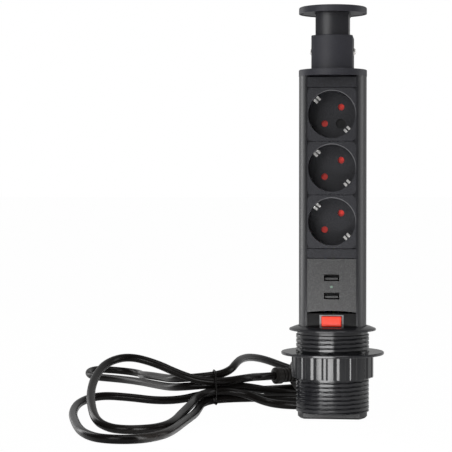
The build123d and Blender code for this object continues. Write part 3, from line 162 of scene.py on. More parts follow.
# %% Tie
TIE_AT = Vector((-0.10603, 0.07062, 0.0142))
TIE_HEADING = math.radians(14.4)
TIE_WIRE_RADIUS = 0.0007
TIE_HALF_WIDTH = 0.0078
TIE_HALF_HEIGHT = 0.0135
TIE_FRONT = 0.0124  # the wire bulges this far out at its lower front
TIE_TOP = 0.0148


def on_the_tie(across, up, along=0.0):
    """Point in the plane of the tie, which stands across the bundle."""
    run = Vector((math.cos(TIE_HEADING), math.sin(TIE_HEADING), 0))
    side = Vector((math.sin(TIE_HEADING), -math.cos(TIE_HEADING), 0))
    return tuple(TIE_AT + side * across + run * along + Vector((0, 0, up)))


w, h, f, top = TIE_HALF_WIDTH, TIE_HALF_HEIGHT, TIE_FRONT, TIE_TOP
first_tail = [(f + 0.006, -0.0102, -0.0075), (f + 0.0035, -0.0112, -0.004),
              (f + 0.001, -0.0120, -0.0008)]
front_side = [(f, -0.0095), (f, -0.001), (w + 0.0016, 0.008), (w - 0.001, top - 0.001)]
top_side = [(w - 0.004, top), (0, top), (-w + 0.003, top)]
back_side = [(-w, top - 0.001), (-w, 0.0), (-w, -h + 0.002)]
bottom_side = [(-w + 0.003, -h), (0, -h), (f - 0.002, -h)]
last_tail = [(f, -0.0128), (f + 0.0014, -0.0106, 0.0008), (f + 0.0035, -0.0092, -0.002),
             (f + 0.0052, -0.0086, -0.0028)]
tie_places = first_tail + front_side + top_side + back_side + bottom_side + last_tail
tie_points = [on_the_tie(*place) for place in tie_places]
cord_tie_wire = smooth_curve("cord_tie_wire", tie_points, TIE_WIRE_RADIUS)
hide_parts("cord_tie")
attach(cord_tie_wire, "tower")

print("tie control points:", len(tie_points))

# %% [markdown]
# ## Effects that several finishes share
# A shader node group is a small machine with named inputs and outputs. Three serve every finish,
# and a fourth, made after them, is for the socket faces alone. Moulded grain is the fine speckle
# that a spark-eroded mould leaves on plastic. Drawn lines are the faint marks along an extrusion
# or a drawn wire. Handling is the uneven gloss that fingers leave. Each takes millimetres,
# because the object's own coordinates are real sizes.

# %% Helpers for node trees


def add(tree, kind, inputs=None, **settings):
    """Adds a node, sets its options, and fills its inputs with values or other nodes' outputs."""
    node = tree.nodes.new(kind)
    for key, value in settings.items():
        setattr(node, key, value)
    for key, value in (inputs or {}).items():
        if isinstance(value, bpy.types.NodeSocket):
            tree.links.new(value, node.inputs[key])
        else:
            node.inputs[key].default_value = value
    return node


def effect(name, inputs, outputs):
    """Empty shader node group with named sockets, and its two end nodes."""
    group = bpy.data.node_groups.new(name, "ShaderNodeTree")
    kinds = {float: "NodeSocketFloat", tuple: "NodeSocketColor"}
    for label, value in inputs:
        socket = group.interface.new_socket(label, in_out="INPUT", socket_type=kinds[type(value)])
        socket.default_value = value
    for label, kind in outputs:
        group.interface.new_socket(label, in_out="OUTPUT", socket_type="NodeSocket" + kind)
    start, end = group.nodes.new("NodeGroupInput"), group.nodes.new("NodeGroupOutput")
    return group, start.outputs, end.inputs


def grid_in_mm(tree, size):
    """The object's own coordinates, counted in steps of a size in millimetres."""
    place = add(tree, "ShaderNodeTexCoord")
    steps = add(tree, "ShaderNodeMath", {0: MM_IN_A_METRE, 1: size}, operation="DIVIDE")
    return add(tree, "ShaderNodeVectorMath", {0: place.outputs["Object"], 3: steps.outputs[0]},
               operation="SCALE").outputs[0]


def varied(tree, value, wave, spread):
    """A value that swings by a spread as a wave goes from 0 to 1."""
    centred = add(tree, "ShaderNodeMath", {0: wave, 1: 0.5}, operation="SUBTRACT")
    return add(tree, "ShaderNodeMath", {0: centred.outputs[0], 1: spread, 2: value},
               operation="MULTIPLY_ADD").outputs[0]


print("helpers ready")

# %% Moulded grain
FLECK_FROM, FLECK_TO = 0.42, 0.72

moulded_grain, given, out = effect(
    "moulded_grain",
    [("Colour", (0.02, 0.02, 0.02, 1.0)), ("Fleck", (0.1, 0.1, 0.1, 1.0)), ("Grain mm", 0.8),
     ("Flecks", 0.3), ("Roughness", 0.5), ("Spread", 0.1), ("Relief mm", 0.02)],
    [("Colour", "Color"), ("Roughness", "Float"), ("Normal", "Vector")])
speckle = add(moulded_grain, "ShaderNodeTexNoise",
              {"Vector": grid_in_mm(moulded_grain, given["Grain mm"]), "Scale": 1.0, "Detail": 3.0,
               "Roughness": 0.6})
spot = add(moulded_grain, "ShaderNodeMapRange",
           {"Value": speckle.outputs[0], "From Min": FLECK_FROM, "From Max": FLECK_TO})
how_much = add(moulded_grain, "ShaderNodeMath", {0: spot.outputs[0], 1: given["Flecks"]},
               operation="MULTIPLY")
tint = add(moulded_grain, "ShaderNodeMix",
           {0: how_much.outputs[0], 6: given["Colour"], 7: given["Fleck"]}, data_type="RGBA")
relief = add(moulded_grain, "ShaderNodeMath", {0: given["Relief mm"], 1: MM}, operation="MULTIPLY")
bump = add(moulded_grain, "ShaderNodeBump",
           {"Strength": 1.0, "Distance": relief.outputs[0], "Height": speckle.outputs[0]})
moulded_grain.links.new(tint.outputs[2], out["Colour"])
gloss = varied(moulded_grain, given["Roughness"], speckle.outputs[0], given["Spread"])
moulded_grain.links.new(gloss, out["Roughness"])
moulded_grain.links.new(bump.outputs[0], out["Normal"])
print(moulded_grain.name, len(moulded_grain.nodes), "nodes")

# %% Drawn lines
drawn_lines, given, out = effect(
    "drawn_lines",
    [("Colour", (0.5, 0.5, 0.5, 1.0)), ("Roughness", 0.3), ("Spread", 0.2), ("Across mm", 0.4),
     ("Along mm", 60.0), ("Shade", 0.2), ("Relief mm", 0.005)],
    [("Colour", "Color"), ("Roughness", "Float"), ("Normal", "Vector")])
place = add(drawn_lines, "ShaderNodeTexCoord")
parts = add(drawn_lines, "ShaderNodeSeparateXYZ", {0: place.outputs["Object"]})
across = add(drawn_lines, "ShaderNodeMath", {0: MM_IN_A_METRE, 1: given["Across mm"]},
             operation="DIVIDE")
along = add(drawn_lines, "ShaderNodeMath", {0: MM_IN_A_METRE, 1: given["Along mm"]},
            operation="DIVIDE")
stretched = add(drawn_lines, "ShaderNodeCombineXYZ", {
    axis: add(drawn_lines, "ShaderNodeMath", {0: parts.outputs[axis], 1: step.outputs[0]},
              operation="MULTIPLY").outputs[0]
    for axis, step in (("X", across), ("Y", across), ("Z", along))})
streak = add(drawn_lines, "ShaderNodeTexNoise",
             {"Vector": stretched.outputs[0], "Scale": 1.0, "Detail": 2.0, "Roughness": 0.55})
darker = add(drawn_lines, "ShaderNodeMath", {0: streak.outputs[0], 1: given["Shade"]},
             operation="MULTIPLY")
lined = add(drawn_lines, "ShaderNodeMix",
            {0: darker.outputs[0], 6: given["Colour"], 7: (0.0, 0.0, 0.0, 1.0)}, data_type="RGBA")
relief = add(drawn_lines, "ShaderNodeMath", {0: given["Relief mm"], 1: MM}, operation="MULTIPLY")
bump = add(drawn_lines, "ShaderNodeBump",
           {"Strength": 1.0, "Distance": relief.outputs[0], "Height": streak.outputs[0]})
drawn_lines.links.new(lined.outputs[2], out["Colour"])
gloss = varied(drawn_lines, given["Roughness"], streak.outputs[0], given["Spread"])
drawn_lines.links.new(gloss, out["Roughness"])
drawn_lines.links.new(bump.outputs[0], out["Normal"])
print(drawn_lines.name, len(drawn_lines.nodes), "nodes")

# %% Handling
GLOSS_SWING = 0.12
DUST_SHARE = 0.03
DUST = (0.55, 0.53, 0.5, 1.0)

handling, given, out = effect(
    "handling",
    [("Colour", (0.02, 0.02, 0.02, 1.0)), ("Roughness", 0.4), ("Marks", 0.5), ("Marks mm", 22.0)],
    [("Colour", "Color"), ("Roughness", "Float")])
patches = add(handling, "ShaderNodeTexNoise",
              {"Vector": grid_in_mm(handling, given["Marks mm"]), "Scale": 1.0, "Detail": 4.0,
               "Roughness": 0.65})
strength = add(handling, "ShaderNodeMath", {0: given["Marks"], 1: GLOSS_SWING},
               operation="MULTIPLY")
veil = add(handling, "ShaderNodeMath", {0: patches.outputs[0], 1: given["Marks"]},
           operation="MULTIPLY")
thin = add(handling, "ShaderNodeMath", {0: veil.outputs[0], 1: DUST_SHARE}, operation="MULTIPLY")
dusty = add(handling, "ShaderNodeMix",
            {0: thin.outputs[0], 6: given["Colour"], 7: DUST}, data_type="RGBA")
handling.links.new(dusty.outputs[2], out["Colour"])
gloss = varied(handling, given["Roughness"], patches.outputs[0], strength.outputs[0])
handling.links.new(gloss, out["Roughness"])
print(handling.name, len(handling.nodes), "nodes")

# %% [markdown]
# The socket faces need one more effect: a painted highlight, a thin light line along the upper
# half of each round recess's rim, and painted shade at the bottom of the screw well beside the
# middle. Both are measured from the middle of the recess, in the object's own coordinates.

# %% Socket face
WELL_AT = (6.5, 0.0, -6.9)
# Painted highlight: a thin light line along the upper half of each recess rim.
RIM_HALF_WIDTH = 0.27
RIM_HIGHLIGHT_STRENGTH = 0.4
HIGHLIGHT_FROM, HIGHLIGHT_TO = 4.0, 17.0
HIGHLIGHT_LEAN = 0.45
RIM_HIGHLIGHT_COLOUR = (0.3, 0.3, 0.31, 1.0)
# Painted shade at the bottom of the screw well.
WELL_SHADOW = (0.0012, 0.0012, 0.0014, 1.0)

socket_face, given, out = effect(
    "socket_face",
    [("Colour", (0.02, 0.02, 0.02, 1.0)), ("Middle mm", 247.4), ("Rim mm", 19.5), ("Well mm", 4.0),
     ("Well shade", 0.9)],
    [("Colour", "Color")])
place = add(socket_face, "ShaderNodeTexCoord")
middle = add(socket_face, "ShaderNodeMath", {0: given["Middle mm"], 1: MM}, operation="MULTIPLY")
centre = add(socket_face, "ShaderNodeCombineXYZ", {"Z": middle.outputs[0]})
offset = add(socket_face, "ShaderNodeVectorMath",
             {0: place.outputs["Object"], 1: centre.outputs[0]}, operation="SUBTRACT")
in_mm = add(socket_face, "ShaderNodeVectorMath",
            {0: offset.outputs[0], 1: (MM_IN_A_METRE, 0.0, MM_IN_A_METRE)}, operation="MULTIPLY")
reach = add(socket_face, "ShaderNodeVectorMath", {0: in_mm.outputs[0]}, operation="LENGTH")
# Painted highlight along the rim, strongest on its upper half.
on_rim = add(socket_face, "ShaderNodeMath",
             {0: reach.outputs[1], 1: given["Rim mm"], 2: RIM_HALF_WIDTH}, operation="COMPARE")
axes = add(socket_face, "ShaderNodeSeparateXYZ", {0: in_mm.outputs[0]})
lean = add(socket_face, "ShaderNodeMath",
           {0: axes.outputs["X"], 1: HIGHLIGHT_LEAN, 2: axes.outputs["Z"]}, operation="MULTIPLY_ADD")
lit_upper_half = add(socket_face, "ShaderNodeMapRange",
            {"Value": lean.outputs[0], "From Min": HIGHLIGHT_FROM, "From Max": HIGHLIGHT_TO,
             "To Max": RIM_HIGHLIGHT_STRENGTH})
rim_highlight = add(socket_face, "ShaderNodeMath", {0: on_rim.outputs[0], 1: lit_upper_half.outputs[0]},
            operation="MULTIPLY")
highlighted = add(socket_face, "ShaderNodeMix",
             {0: rim_highlight.outputs[0], 6: given["Colour"], 7: RIM_HIGHLIGHT_COLOUR}, data_type="RGBA")
# Painted shade in the screw well beside the middle.
from_well = add(socket_face, "ShaderNodeVectorMath", {0: in_mm.outputs[0], 1: WELL_AT},
                operation="DISTANCE")
in_well = add(socket_face, "ShaderNodeMath", {0: from_well.outputs[1], 1: given["Well mm"]},
              operation="LESS_THAN")
shadow = add(socket_face, "ShaderNodeMath", {0: in_well.outputs[0], 1: given["Well shade"]},
             operation="MULTIPLY")
shaded = add(socket_face, "ShaderNodeMix",
             {0: shadow.outputs[0], 6: highlighted.outputs[2], 7: WELL_SHADOW}, data_type="RGBA")
socket_face.links.new(shaded.outputs[2], out["Colour"])
print(socket_face.name, len(socket_face.nodes), "nodes")

# %% [markdown]
# ## The plastics
# Nearly everything that shows is dark plastic, yet no two mouldings have the same surface. The
# collar and nut are nylon straight from a polished mould, the panel pieces come from a grained
# one, and the caps are satin. One function makes them all from what differs: colour, grain size,
# gloss. The plain numbers go straight to the shader's sockets, the varying ones come from groups.

# %% Plastic finishes


def finished(name, base, detail, marks, constants):
    """Material: an effect for the fine surface, then handling, then one Principled shader."""
    material = bpy.data.materials.new(name)
    material.use_nodes = True
    tree = material.node_tree
    shader = tree.nodes["Principled BSDF"]
    surface = add(tree, "ShaderNodeGroup", node_tree=base)
    for label, value in detail.items():
        surface.inputs[label].default_value = value
    worn = add(tree, "ShaderNodeGroup", node_tree=handling)
    worn.inputs["Marks"].default_value = marks
    tree.links.new(surface.outputs["Colour"], worn.inputs["Colour"])
    tree.links.new(surface.outputs["Roughness"], worn.inputs["Roughness"])
    tree.links.new(worn.outputs["Colour"], shader.inputs["Base Color"])
    tree.links.new(worn.outputs["Roughness"], shader.inputs["Roughness"])
    tree.links.new(surface.outputs["Normal"], shader.inputs["Normal"])
    for label, value in constants.items():
        shader.inputs[label].default_value = value
    return material


def plastic(name, colour, fleck, grain, flecks, roughness, relief, marks=0.5, **constants):
    """Moulded plastic; grain and relief in millimetres."""
    detail = {"Colour": (*colour, 1.0), "Fleck": (*fleck, 1.0), "Grain mm": grain,
              "Flecks": flecks, "Roughness": roughness, "Spread": 0.12, "Relief mm": relief}
    return finished(name, moulded_grain, detail, marks, constants)


def socket_plastic(name, middle, well_shade):
    """Grained plastic with one socket's painted rim highlight and painted well shade, given the
    height of its middle.
    """
    material = plastic(name, (0.0078, 0.0079, 0.0112), (0.058, 0.059, 0.07), 0.8, 0.6, 0.5, 0.04,
                       **{"Specular IOR Level": 0.36})
    tree = material.node_tree
    shader = tree.nodes["Principled BSDF"]
    face = add(tree, "ShaderNodeGroup", node_tree=socket_face)
    tree.links.new(shader.inputs["Base Color"].links[0].from_socket, face.inputs["Colour"])
    tree.links.new(face.outputs["Colour"], shader.inputs["Base Color"])
    face.inputs["Middle mm"].default_value = middle
    face.inputs["Well shade"].default_value = well_shade
    return material


SOCKET_MIDDLES = [247.4, 203.95, 160.55]  # heights in mm, uppermost socket first
# Strength of the painted shade in each socket's screw well.
WELL_SHADES = [0.9, 0.0, 0.0]  # only the first socket has a screw well
socket_1, socket_2, socket_3 = [
    socket_plastic("socket_%d" % number, middle, depth)
    for number, middle, depth in zip((1, 2, 3), SOCKET_MIDDLES, WELL_SHADES)]
satin_cap = plastic("satin_cap", (0.022, 0.022, 0.029), (0.05, 0.05, 0.062), 0.5, 0.35, 0.5, 0.006,
                    **{"Specular IOR Level": 0.4})
neck_satin = plastic("neck_satin", (0.014, 0.0142, 0.018), (0.03, 0.03, 0.035),
                     0.5, 0.3, 0.36, 0.004)
grained_panel = plastic("grained_panel", (0.0055, 0.0056, 0.0085), (0.04, 0.041, 0.052),
                        0.9, 0.5, 0.5, 0.03, **{"Specular IOR Level": 0.36})
grained_usb = plastic("grained_usb", (0.022, 0.022, 0.023), (0.09, 0.09, 0.09),
                      0.9, 0.6, 0.5, 0.04)
smooth_latch = plastic("smooth_latch", (0.0035, 0.0035, 0.004), (0.008, 0.008, 0.008),
                       0.5, 0.2, 0.14, 0.001, **{"Specular IOR Level": 0.2})
glossy_nylon = plastic("glossy_nylon", (0.0045, 0.0048, 0.0066), (0.010, 0.0105, 0.0135),
                       0.7, 0.3, 0.2, 0.004)
foot_nylon = plastic("foot_nylon", (0.014, 0.014, 0.015), (0.06, 0.06, 0.06), 0.9, 0.5, 0.45, 0.02)
shutter_red = plastic("shutter_red", (0.82, 0.03, 0.02), (0.9, 0.09, 0.06), 0.6, 0.3, 0.3, 0.006)
button_red = plastic("button_red", (0.93, 0.035, 0.008), (0.95, 0.05, 0.02), 1.5, 0.3, 0.22, 0.002,
                     **{"Specular IOR Level": 0.4})
frame_grey = plastic("frame_grey", (0.17, 0.175, 0.18), (0.26, 0.26, 0.26), 0.6, 0.4, 0.4, 0.01)
carrier_dark = plastic("carrier_dark", (0.03, 0.028, 0.026), (0.06, 0.055, 0.05),
                       0.8, 0.4, 0.5, 0.01)
tongue_dark = plastic("tongue_dark", (0.03, 0.03, 0.032), (0.06, 0.06, 0.06),
                      0.5, 0.3, 0.35, 0.004)
brake_rubber = plastic("brake_rubber", (0.012, 0.012, 0.012), (0.03, 0.03, 0.03),
                       0.5, 0.4, 0.7, 0.02)
jacket_black = plastic("jacket_black", (0.0025, 0.002, 0.0018), (0.006, 0.005, 0.0045),
                       0.9, 0.35, 0.24, 0.006, marks=0.25, **{"Specular IOR Level": 0.14})
moulded_black = plastic("moulded_black", (0.0065, 0.0056, 0.005), (0.018, 0.016, 0.014),
                        0.7, 0.4, 0.36, 0.015, **{"Specular IOR Level": 0.3})
live_brown = plastic("live_brown", (0.12, 0.045, 0.02), (0.18, 0.08, 0.04), 0.8, 0.3, 0.35, 0.004)
neutral_blue = plastic("neutral_blue", (0.02, 0.09, 0.36), (0.05, 0.15, 0.45),
                       0.8, 0.3, 0.35, 0.004)
earth_green = plastic("earth_green", (0.05, 0.28, 0.03), (0.75, 0.62, 0.03), 2.6, 1.0, 0.35, 0.004)
board_green = plastic("board_green", (0.01, 0.09, 0.035), (0.02, 0.16, 0.06), 1.8, 0.6, 0.3, 0.01)
print("plastics made")

# %% [markdown]
# ## The metals
# The tube is an extruded aluminium profile, powder-dark and satin, so it keeps only a trace of
# its drawing lines. The earth clips, rails and port shells are plated strip, the screws and
# springs are steel. For all of them the fine surface is the same effect, stretched along one way.

# %% Metal finishes


def metal(name, colour, roughness, spread, across_mm, along_mm, shade, relief, marks=0.3,
          **constants):
    """Drawn or rolled metal; line sizes in millimetres."""
    detail = {"Colour": (*colour, 1.0), "Roughness": roughness, "Spread": spread,
              "Across mm": across_mm, "Along mm": along_mm, "Shade": shade, "Relief mm": relief}
    return finished(name, drawn_lines, detail, marks, constants)


dark_tube = metal("dark_tube", (0.0056, 0.0059, 0.0088), 0.3, 0.1, 0.5, 90.0, 0.35, 0.003,
                  marks=0.5, **{"Specular IOR Level": 0.42})
plated_strip = metal("plated_strip", (0.95, 0.94, 0.92), 0.3, 0.15, 0.9, 3.0, 0.35, 0.006,
                     Metallic=0.3)
chromed_steel = metal("chromed_steel", (0.82, 0.8, 0.78), 0.12, 0.1, 0.7, 2.0, 0.15, 0.003,
                      Metallic=1.0)
spring_wire = metal("spring_wire", (0.45, 0.44, 0.42), 0.3, 0.15, 0.3, 3.0, 0.3, 0.004,
                    Metallic=1.0)
port_steel = metal("port_steel", (0.32, 0.32, 0.33), 0.28, 0.12, 0.5, 5.0, 0.3, 0.003,
                   Metallic=1.0)
print("metals made")

# %% [markdown]
# ## The lamp's lens
# The indicator between the ports is a stub of clear plastic that glows faintly green when the
# ports are live. It is unlit here, so a slightly green, clear plastic is enough.

# %% Lens
lens_clear = plastic("lens_clear", (0.28, 0.42, 0.33), (0.5, 0.65, 0.55), 0.5, 0.5, 0.12, 0.003,
                     marks=0.1, **{"Transmission Weight": 0.5})
print("lens made")

# %% [markdown]
# ## Dressing the model's own pieces
# A piece whose shape is already right only needs its finish. The table below says which finish
# each one has; the pieces stay where the model put them.

# %% Finishes on the model's pieces
FINISHES = [
    (dark_tube, ["tower_tube"]),
    (satin_cap, ["top_cap", "neck_sleeve", "lid"]),
    (neck_satin, ["neck_block"]),
    (smooth_latch, ["latch_block"]),
    (grained_panel, ["blank_plate_top", "blank_strip", "lower_plate"]),
    (socket_1, ["socket_body_1"]), (socket_2, ["socket_body_2"]), (socket_3, ["socket_body_3"]),
    (grained_usb, ["usb_plate"]),
    (glossy_nylon, ["clamp_washer", "ring_nut", "mounting_collar"]),
    (foot_nylon, ["end_cap", "cord_clamp"]),
    (shutter_red, ["shutter_1", "shutter_2", "shutter_3"]),
    (button_red, ["release_button"]),
    (frame_grey, ["button_frame"]),
    (carrier_dark, ["contact_carrier_1", "contact_carrier_2", "contact_carrier_3",
                    "usb_converter"]),
    (tongue_dark, ["usb_tongue_1", "usb_tongue_2"]),
    (brake_rubber, ["brake_ring"]),
    (moulded_black, ["strain_relief", "plug_boot", "plug_body"]),
    (jacket_black, ["cord_to_tower", "cord_hank", "cord_to_plug", "cord_tie"]),
    (plated_strip, ["earth_bracket_1", "earth_bracket_2", "earth_bracket_3", "earth_rail",
                    "live_rail", "neutral_rail", "plug_earth_strips", "plug_pins"]),
    (port_steel, ["usb_port_1", "usb_port_2"]),
    (chromed_steel, ["sleeve_screws", "top_cap_screws", "end_cap_screws", "clamp_screws"]),
    (spring_wire, ["push_spring", "button_spring"]),
    (live_brown, ["live_wire"]),
    (neutral_blue, ["neutral_wire"]),
    (earth_green, ["earth_wire"]),
    (board_green, ["usb_board"]),
    (lens_clear, ["led_lens"]),
]


def dress(piece, material):
    """Puts one finish on all of a piece."""
    if not piece.material_slots:
        piece.data.materials.append(material)
    for slot in piece.material_slots:
        slot.material = material


dressed = []
for material, names in FINISHES:
    for name in names:
        dress(nodes[name], material)
        dressed.append(name)
dress(mains_cord, jacket_black)
dress(cord_tie_wire, jacket_black)
print("dressed", len(dressed), "undressed", sorted(set(nodes) - set(dressed)))

# %% [markdown]
# ## The lid's spring
# Pushing the lid shortens the spring below it. Its lower end stays in the well, and its coils
# close up towards that end. Here the spring is a piece of its own, a copy of the model's spring
# with a mesh of its own.

# %% Lid spring
lid_spring = bpy.data.objects.new("lid_spring", nodes["push_spring"].data.copy())
bpy.context.collection.objects.link(lid_spring)
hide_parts("push_spring")
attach(lid_spring, "tower")
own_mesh(lid_spring)
print(lid_spring.name, len(lid_spring.data.polygons), "faces")

# %% [markdown]
# ## The threaded collar
# The collar is a moulded nylon barrel with a coarse thread for the ring nut and a thin domed
# flange. Its thread is a helix, so it can't be made by turning one profile: the radius depends on
# height and angle together. The profile below goes once round the barrel's section; at every
# angle the thread's share of it is shifted along the helix. A notch at the back lets the cord out.

# %% Threaded collar
THREAD_PITCH = 3.5
THREAD_CREST = 29.9
THREAD_ROOT = 28.95
THREAD_FROM = 5.1
THREAD_TO = 68.2
THREAD_STEPS = 252
GROOVE_HALF_WIDTH = 0.2  # share of the pitch
GROOVE_STEEPNESS = 1.4
FADE_IN, FADE_OUT = 1.6, 2.5
CREST_CHAMFER = 0.5
COLLAR_SECTIONS = 168
COLLAR_EDGE = 38  # degrees
COLLAR_TOP = [(29.0, 68.8), (29.0, 71.1), (29.4, 71.5), (35.2, 71.5), (35.5, 71.7), (35.5, 72.7),
              (35.2, 73.05), (33.2, 73.85), (31.2, 74.65), (29.6, 75.15), (29.0, 75.3),
              (28.6, 75.3), (28.25, 75.15), (28.0, 74.8)]
COLLAR_INSIDE = [(28.0, 20.0), (28.75, 20.0), (28.75, 16.0), (28.0, 16.0), (28.0, 5.4),
                 (28.25, 5.1)]


def thread_radius(height, turn):
    """Radius of the thread at a height, with rounded crests and narrow grooves."""
    phase = ((height - THREAD_FROM) / THREAD_PITCH - turn / (2 * math.pi)) % 1.0
    groove = max(0.0, 1.0 - abs(phase - 0.5) / GROOVE_HALF_WIDTH)
    depth = (THREAD_CREST - THREAD_ROOT) * min(1.0, groove * GROOVE_STEEPNESS)
    fade = min(1.0, (height - THREAD_FROM) / FADE_IN, (THREAD_TO - height) / FADE_OUT)
    return THREAD_CREST - depth * max(0.0, fade)


def collar_section(turn):
    """The barrel's whole section at one angle, as radius and height."""
    step = (THREAD_TO - THREAD_FROM) / THREAD_STEPS
    heights = [THREAD_FROM + step * i for i in range(THREAD_STEPS + 1)]
    thread = [(thread_radius(z, turn), z) for z in heights]
    thread[0] = (THREAD_CREST - CREST_CHAMFER, THREAD_FROM)
    return thread + COLLAR_TOP + COLLAR_INSIDE


def mesh_piece(name, mesh_builder):
    """New mesh object made with bmesh."""
    mesh = bpy.data.meshes.new(name)
    bm = bmesh.new()
    mesh_builder(bm)
    bmesh.ops.recalc_face_normals(bm, faces=bm.faces)
    bm.to_mesh(mesh)
    bm.free()
    piece = bpy.data.objects.new(name, mesh)
    bpy.context.collection.objects.link(piece)
    return piece


def build_collar(bm):
    """Sections at many angles, joined by faces."""
    rings = []
    for i in range(COLLAR_SECTIONS):
        turn = 2 * math.pi * i / COLLAR_SECTIONS
        rings.append([bm.verts.new((r * MM * math.cos(turn), r * MM * math.sin(turn), z * MM))
                      for r, z in collar_section(turn)])
    for ring, following in zip(rings, rings[1:] + rings[:1]):
        for j in range(len(ring)):
            k = (j + 1) % len(ring)
            bm.faces.new((ring[j], following[j], following[k], ring[k]))


def smooth_by_angle(piece, degrees):
    """Smooth shading that keeps edges sharper than an angle."""
    for face in piece.data.polygons:
        face.use_smooth = True
    piece.data.set_sharp_from_angle(angle=math.radians(degrees))


threaded_collar = mesh_piece("threaded_collar", build_collar)
print("collar faces", len(threaded_collar.data.polygons))

# %% Notch for the cord
NOTCH_R = 6.2
NOTCH_TOP = 10.8
NOTCH_BOTTOM = -4.0
NOTCH_FROM, NOTCH_TO = 0.012, 0.040
ARC_STEPS = 16


def build_notch(bm):
    """Upright slot with a round top, pushed through the barrel's back wall."""
    outline = [(-NOTCH_R, NOTCH_BOTTOM), (NOTCH_R, NOTCH_BOTTOM)]
    for i in range(ARC_STEPS + 1):
        turn = math.pi * i / ARC_STEPS
        outline.append((NOTCH_R * math.cos(turn), NOTCH_TOP + NOTCH_R * math.sin(turn)))
    near = [bm.verts.new((x * MM, NOTCH_FROM, z * MM)) for x, z in outline]
    far = [bm.verts.new((x * MM, NOTCH_TO, z * MM)) for x, z in outline]
    bm.faces.new(near)
    bm.faces.new(far[::-1])
    for i in range(len(outline)):
        k = (i + 1) % len(outline)
        bm.faces.new((near[i], far[i], far[k], near[k]))


def cut(piece, tool):
    """Takes one closed mesh out of another and removes the tool."""
    modifier = piece.modifiers.new("cut", "BOOLEAN")
    modifier.operation = "DIFFERENCE"
    modifier.solver = "EXACT"
    modifier.object = tool
    depsgraph = bpy.context.evaluated_depsgraph_get()
    result = bpy.data.meshes.new_from_object(piece.evaluated_get(depsgraph))
    piece.modifiers.clear()
    piece.data = result
    bpy.data.objects.remove(tool)


cut(threaded_collar, mesh_piece("notch", build_notch))
smooth_by_angle(threaded_collar, COLLAR_EDGE)
dress(threaded_collar, glossy_nylon)
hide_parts("mounting_collar")
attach(threaded_collar, "collar")
print("collar faces with the notch", len(threaded_collar.data.polygons))

# %% [markdown]
# ## Screws in the sleeve
# Two chromed pan-head screws hold the sleeve to the cap, one on each side. Only the heads show.
# Each is a small dome turned round its axis, with a cross recess pressed into it, so the dome is
# made by turning a profile, and the recess is cut by two tapered arms, one after the other.

# %% Cross-recessed screws
SCREW_AT = Vector((16.8, 0.0, 299.3)) * MM
SCREW_PROFILE = [(0.0, 2.0), (0.9, 1.95), (1.7, 1.7), (2.4, 1.2), (2.95, 0.55), (3.2, 0.15),
                 (3.15, 0.0), (1.4, 0.0), (1.4, -3.1), (0.0, -3.1)]
SCREW_STEPS = 40
SCREW_EDGE = 40  # degrees
ARM_LONG, ARM_THIN = 1.9, 0.42
ARM_ENDS = ((2.6, 1.0), (0.5, 0.45))  # place along the screw, and share of the arm's full size


def build_screw(side):
    """Screw along X, its head outwards on the given side."""
    def build(bm):
        axis_ends = {0: None, len(SCREW_PROFILE) - 1: None}
        rings = []
        for i in range(SCREW_STEPS):
            turn = 2 * math.pi * i / SCREW_STEPS
            ring = []
            for j, (r, out_by) in enumerate(SCREW_PROFILE):
                place = (side * (SCREW_AT.x + out_by * MM), r * MM * math.cos(turn),
                         SCREW_AT.z + r * MM * math.sin(turn))
                if j in axis_ends:
                    axis_ends[j] = axis_ends[j] or bm.verts.new(place)
                    ring.append(axis_ends[j])
                else:
                    ring.append(bm.verts.new(place))
            rings.append(ring)
        for ring, following in zip(rings, rings[1:] + rings[:1]):
            for j in range(len(ring) - 1):
                corners = [ring[j], ring[j + 1], following[j + 1], following[j]]
                bm.faces.new(list(dict.fromkeys(corners)))
    return build


def build_slot(side, long_y, long_z):
    """One tapered arm of the cross recess."""
    def build(bm):
        ends = []
        for out_by, scale in ARM_ENDS:
            x = side * (SCREW_AT.x + out_by * MM)
            y, z = long_y * scale * MM, long_z * scale * MM
            ends.append([bm.verts.new((x, a * y, SCREW_AT.z + b * z))
                         for a, b in ((-1, -1), (1, -1), (1, 1), (-1, 1))])
        bm.faces.new(ends[0])
        bm.faces.new(ends[1][::-1])
        for i in range(4):
            k = (i + 1) % 4
            bm.faces.new((ends[0][i], ends[1][i], ends[1][k], ends[0][k]))
    return build


for side, label in ((-1, "left"), (1, "right")):
    screw = mesh_piece("sleeve_screw_" + label, build_screw(side))
    for arm in ((ARM_LONG, ARM_THIN), (ARM_THIN, ARM_LONG)):
        cut(screw, mesh_piece("slot", build_slot(side, *arm)))
    smooth_by_angle(screw, SCREW_EDGE)
    dress(screw, chromed_steel)
    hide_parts("sleeve_screws")
    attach(screw, "tower")
    print(screw.name, len(screw.data.polygons), "faces")

# %% [markdown]
# ## Floor, background and light
# The object stands on a pale surface in front of white. The floor's own colour gives the white,
# and rays that come straight from the camera see it evenly lit, apart from a soft shadow. The
# surroundings are white to the eye, but black plastic mirrors a studio that is dark in front of
# the object and bright behind it. One soft light at the left front and one above light the whole,
# two behind the sides draw the tube's edges, and a small card low at the left front makes the
# upright highlight on thread and nut.

# %% Floor
FLOOR_HALF_SIDE = 60.0
FLOOR_HEIGHT = -0.0002
EVENLY_LIT = 0.985


def build_floor(bm):
    """Flat sheet under the object."""
    bm.faces.new([bm.verts.new((x * FLOOR_HALF_SIDE, y * FLOOR_HALF_SIDE, FLOOR_HEIGHT))
                  for x, y in ((-1, -1), (1, -1), (1, 1), (-1, 1))])


